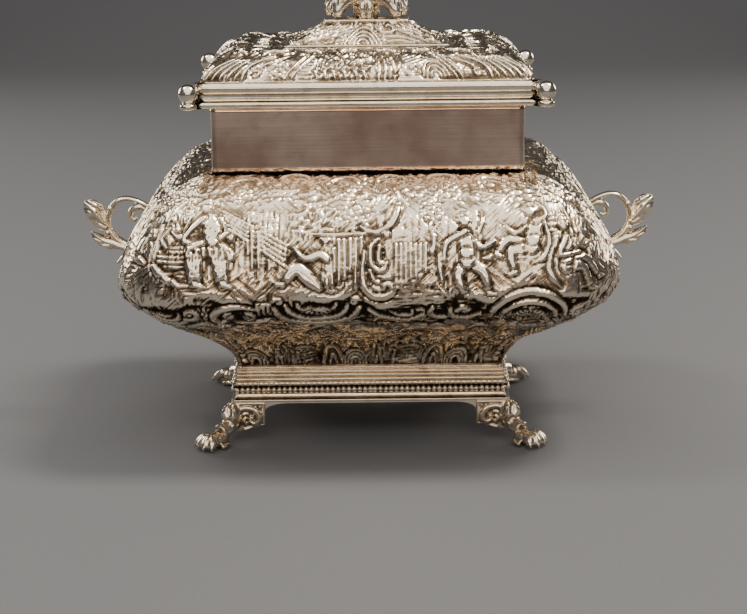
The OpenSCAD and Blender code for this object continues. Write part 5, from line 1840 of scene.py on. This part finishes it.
def lid_face(art, centre, half, seed):
    """One face of the lower tier: leaves at both ends, slanted borders, a scene and a lake."""
    corner_leaves(art, centre - half + 0.6, 0.4)
    art.at(centre, 0.4)
    room = half / 47.8
    for x in (-24.0, -21.8):
        art.stroke([(x * room, 0.6), (x * room + 4.4, 10.8)], 0.38, 0.6, 0.4, 0.3)
    art.stipple((-29 * room, 0.6), (-24.5 * room, 8.0), 1.1, 0.7, 0.5)
    little_people(art, centre - 15.5 * room, 0.9, int(7 * room), seed)
    art.at(centre, 0.4)
    for x in (3.4, 5.2, 8.0):
        art.stroke([(x * room, 0.6), (x * room + 0.5, 5.0), (x * room - 0.2, 10.8)], [0.7, 0.55, 0.6],
                   0.65, 0.45, 0.32)
    art.stroke([(10.2 * room, 10.4), (10.0 * room, 5.8), (8.2 * room, 2.4)], [0.5, 0.45, 0.3], 0.6, 0.4)
    art.stipple((11 * room, 1.0), (16.4 * room, 5.0), 1.1, 0.7, 0.5)
    art.lines((11 * room, 5.0), (18 * room, 11.0), 24, 1.2, 0.3, 1.0)
    for k in range(3):
        f = 1 - 0.3 * k
        arch = [(20.0 * room + 3.6 * f * math.cos(a), 0.6 + 6.4 * f * math.sin(a))
                for a in np.linspace(0.08, math.pi - 0.08, 7)]
        art.stroke(arch, 0.42, 0.7, 0.5, 0.3, 4)
    for x in (23.6, 25.2):
        art.stroke([(x * room + 2.4, 0.6), (x * room - 1.6, 10.8)], 0.38, 0.65, 0.4, 0.3)
    art.lines((26.5 * room, 0.8), (35.6 * room, 4.6), 0, 1.0, 0.3, 0.8)
    art.lines((27.0 * room, 8.0), (35.6 * room, 11.0), 0, 1.2, 0.25, 0.8)
    art.stroke([(36.4 * room, 0.6), (35.4 * room, 10.8)], 0.5, 0.7, 0.5, 0.32)
    corner_leaves(art, centre + half - 0.6, 0.4, True)


def lid_garland(art, v):
    """Rough leaves over the crest and across the shallow dish."""
    half = art.sheet.round / 2
    art.at(0, 0)
    art.stipple((-half, v - 1.8), (half, v + 2.4), 1.5, 0.9, 0.5)
    art.stipple((-half, v + 2.4), (half, art.sheet.v[-1] - SEAT), 2.2, 1.2, 0.4)
    dish_leaves, crest_leaves = 22, 26
    for k in range(dish_leaves):
        s = (k + 0.3) / dish_leaves * art.sheet.round
        art.at(s, v + 5.0, 1.0, k % 3 == 0)
        art.stroke([(-3.6, 2.2), (-1.6, -0.6), (1.8, -0.4), (3.8, 2.6)], [0.4, 0.8, 0.8, 0.4], 0.6, 0.4)
    for k in range(crest_leaves):
        s = (k + 0.5) / crest_leaves * art.sheet.round
        art.at(s, v, 1.0, k % 2 == 0)
        art.stroke([(-3.4, -0.8), (-1.0, 0.9), (1.6, 0.5), (3.6, 1.8)], [0.3, 0.6, 0.6, 0.3], 0.6, 0.4)


def build_lower_tier():
    """The chased lower tier of the lid, with its dish and its hollow inside."""
    hw, hd = RIM_HW - TIER_INSET, RIM_HD - TIER_INSET
    sheet = Sheet(lower_tier_section(), (hw, hd, 3.0), LID_CELL)
    art = Relief(sheet, 17)
    art.undulate(6, 0.2)
    crest = float(np.interp(CREST_HW, sheet.ring[0][::-1], sheet.v[::-1]))
    lid_garland(art, crest - 0.6)
    quarter = sheet.quarter
    for k, half in ((0, hw), (2, hw), (1, hd), (-1, hd)):
        lid_face(art, k * quarter, half - 0.4, 31 + k)
    art.tool_ground(0.10)
    end = sheet.v[-1] - SEAT
    dish = smooth_step(end - 0.8, end - 0.2, sheet.v)[:, None]
    foot = 1 - smooth_step(0.1, 0.6, sheet.v)[:, None]
    art.h = mix(art.eased(-0.5, 0.8), RELIEF * 0.75, np.maximum(dish, foot))
    inner_z = UPPER_LOW[2] - LID_WALL - 0.6
    inside = [plan_like(sheet, CREST_HW * f, CREST_HD * f, SHARP, inner_z) for f in (0.72, 0.95)]
    for f in (0.35, 0.7, 1.0):
        a = f * math.pi / 2
        inside.append(plan_like(sheet, mix(CREST_HW - 1.5, hw - LID_WALL - 0.8, math.sin(a)),
                                mix(CREST_HD - 1.5, hd - LID_WALL - 0.8, math.sin(a)), mix(SHARP, 2.0, f),
                                mix(inner_z, LOWER_LOW[2], 1 - math.cos(a))))
    tier = relief_band("lid_chased_tier", sheet, art, LID_CELL, slice(None), inside)
    finish_piece(tier, CHASED, "lid", "chased_silver", "lid_lower_tier")


def plan_like(sheet, hw, hd, r, z):
    """One ring with the columns of a sheet."""
    one = np.array([1.0])
    return sheet.place(hw * one, hd * one, r * one, z * one)[0]


def roof_scrolls(art, centre, half):
    """Acanthus to the left, a shell in the middle and a looped C to the right, on the roof."""
    art.at(centre, 0)
    room = half / 24.2
    for k in range(4):
        x, v = -19.5 + 2.6 * k, 1.8 + 1.1 * k
        art.stroke([(x * room, v), ((x + 3.4) * room, v + 2.4), ((x + 7.6) * room, v + 3.2),
                    ((x + 9.6) * room, v + 5.6)], [0.35, 0.75, 0.7, 0.35], 0.75, 0.55, 0.35)
    for k in range(4):
        f = 1 - 0.24 * k
        arch = [((-1.2 + 5.4 * f * math.cos(a)) * room, 1.2 + 8.4 * f * math.sin(a))
                for a in np.linspace(0.02, math.pi - 0.02, 9)]
        art.stroke(arch, 0.5, 0.75 - 0.05 * k, 0.55, 0.32, 4)
    art.stroke([(4.2 * room, 9.6), (6.4 * room, 7.6), (10.2 * room, 7.4), (12.8 * room, 9.0),
                (11.4 * room, 10.6), (9.4 * room, 9.6)], [0.45, 0.75, 0.8, 0.7, 0.55, 0.4], 0.8, 0.55)
    art.stroke([(6.0 * room, 4.6), (9.6 * room, 5.2), (13.4 * room, 4.4), (16.2 * room, 1.8)],
               [0.4, 0.7, 0.7, 0.35], 0.7, 0.5)
    art.stroke([(13.6 * room, 8.8), (16.4 * room, 6.0), (19.2 * room, 2.2)], [0.35, 0.75, 0.4], 0.7, 0.5)
    art.stroke([(6.6 * room, 2.4), (10.8 * room, 2.8), (14.6 * room, 1.6)], [0.4, 0.6, 0.3], 0.6, 0.5)


def build_upper_tier():
    """The chased roof of the lid; its flat top is open in the middle for the finial's stud."""
    sheet = Sheet(upper_tier_section(), (UPPER_HW, UPPER_HD, SHARP), LID_CELL)
    art = Relief(sheet, 19)
    art.undulate(5, 0.2)
    half = sheet.round / 2
    art.stipple((-half, 0.9), (half, 11.6), 1.5, 0.8, 0.4)
    quarter = sheet.quarter
    for k, width in ((0, UPPER_HW), (2, UPPER_HW), (1, UPPER_HD), (-1, UPPER_HD)):
        roof_scrolls(art, k * quarter, width)
    art.tool_ground(0.08)
    length = sheet.v[-1]
    foot = 1 - smooth_step(0.5, 1.1, sheet.v)[:, None]
    top = smooth_step(length - 0.7, length - 0.2, sheet.v)[:, None]
    art.h = mix(art.eased(-0.5, 0.8), RELIEF * 0.8, np.maximum(foot, top))
    z0, z1 = UPPER_LOW[2], UPPER_HIGH[2]
    inside = [plan_like(sheet, TOP_HW * f, TOP_HD * f, SHARP * f, z1) for f in (0.8, 0.45)]
    inside += [plan_like(sheet, TOP_HW * f, TOP_HD * f, SHARP * f, z1 - LID_WALL)
               for f in (0.45, 0.8)]
    for t in np.linspace(1, 0, 8):
        inside.append(plan_like(
            sheet, cubic(UPPER_HW, UPPER_HW - 1, TOP_HW + 4, TOP_HW, t) - LID_WALL,
            cubic(UPPER_HD, UPPER_HD - 1, TOP_HD + 3, TOP_HD, t) - LID_WALL, 0.4,
            cubic(z0, z0 + 2, z1 - 4 - LID_WALL, z1 - LID_WALL, t)))
    tier = relief_band("lid_chased_roof", sheet, art, LID_CELL, slice(None), inside)
    finish_piece(tier, CHASED, "lid", "chased_silver", "lid_upper_tier")


# ------------------------------------------------------------------ finial

def build_finial():
    """The leafy twigs that carry the blossom, and the blossom."""
    z = UPPER_HIGH[2]
    twigs = []
    for turn, end, girth in ((0, 11.0, 0.9), (33, 10.6, 1.05), (147, 10.6, 1.05), (180, 11.0, 0.9),
                             (213, 10.6, 1.05), (327, 10.6, 1.05)):
        a = math.radians(turn)
        c, s = math.cos(a), math.sin(a)

        def at(out, up, aside=0.0):
            """A point out along this twig."""
            x, y = c * out - s * aside, s * out + c * aside
            return (x, max(min(y, 5.7), -5.7), z + up)

        twigs.append(strand([at(0.8, 4.6), at(end * 0.4, 6.0), at(end * 0.72, 5.0), at(end * 0.95, 2.6),
                             at(end * 0.98, 0.8)], np.array([1.8, 2.0, 1.9, 1.7, 1.1]) * girth, 1.1, 16))
        for aside in (-1, 1):
            twigs.append(strand([at(1.5, 6.6, aside * 0.4), at(end * 0.42, 7.9, aside * 1.3),
                                 at(end * 0.78, 6.8, aside * 1.9), at(end * 1.02, 3.6, aside * 1.7),
                                 at(end * 0.96, 1.4, aside * 1.2)],
                                np.array([0.6, 0.8, 0.9, 0.85, 0.5]) * girth, 1.0, 12))
        spine = [at(end * 0.2, 7.0), at(end * 0.55, 8.4), at(end * 0.9, 6.6), at(end * 1.06, 3.4),
                 at(end * 1.02, 1.2)]
        twigs.append(blade(spine, [0.6, 1.5, 1.9, 1.5, 0.5], (0.3 * c, 0.3 * s, 0.9), 0.3, 4, 0.3,
                           0.5, 0.4, 0.5))
    for k in range(8):
        a = 45 * k + 20
        c, s = math.cos(math.radians(a)), math.sin(math.radians(a))
        twigs.append(strand([(2.2 * c, 2.2 * s, z + 0.1), (3.0 * c, 3.0 * s, z + 3),
                             (2.3 * c, 2.3 * s, z + 5.6), (3.1 * c, 3.1 * s, z + 8.2)],
                            [1.5, 1.3, 1.0, 0.6], 1.0, 10))
    twigs.append(ellipsoid((0, 0, z + 4.0), (3.4, 3.4, 4.2)))
    calyx = fuse("finial_twigs", twigs, 0.22, 1, 2.4, (-13, -9, z), (13, 9, z + 9.4))
    finish_piece(calyx, CAST, "lid", "cast_silver", "finial_calyx")

    petals = [ellipsoid((0, 0, TOP_Z - 4.2), (2.3, 2.3, 4.2)),
              ellipsoid((0, 0, z + 9.5), (2.4, 2.4, 2.6))]
    for count, first, reach, tall in ((5, 0, 1.0, 1.0), (5, 36, 0.72, 1.35)):
        for k in range(count):
            a = math.radians(360 / count * k + first)
            c, s = math.cos(a), math.sin(a)
            spine = [(r * reach * c, r * reach * s, z + 7.8 + h * tall)
                     for r, h in ((2.0, 0.0), (3.6, 1.4), (5.0, 4.0), (5.6, 6.8), (7.0, 8.6))]
            petals.append(blade(spine, [0.9, 2.3, 3.0, 2.7, 0.8], (-c, -s, 0.3), -0.35, 1, 0.1,
                                0.35, 0.15, 0.2))
    for k in range(9):
        a = math.radians(40 * k)
        petals.append(ellipsoid((1.5 * math.cos(a), 1.5 * math.sin(a), TOP_Z - 1.6),
                                (0.7, 0.7, 1.4)))
    blossom = fuse("finial_flower", petals, 0.22, 1, 2.4, (-8, -8, z + 7), (8, 8, TOP_Z))
    finish_piece(blossom, CAST, "lid", "cast_silver", "finial_blossom")


def dress_cad_nodes():
    """Gives every CAD node, shown or not, the material of its own slot."""
    by_slot = {"chased_silver": CHASED, "polished_silver": PLAIN, "cast_silver": CAST,
               "plain_fittings": FITTINGS, "gilt_lining": GILT}
    for part in frame["record"]["subparts"]:
        for slot in frame["nodes"][part["node"]].material_slots:
            slot.material = by_slot[part["material_slot"]]


build_camera()
build_stage()
build_lights()
build_body()
build_neck()
build_flange()
build_balls()
build_plinth()
build_beads()
build_feet()
build_handles()
build_rim()
build_lower_tier()
build_upper_tier()
build_finial()
dress_cad_nodes()
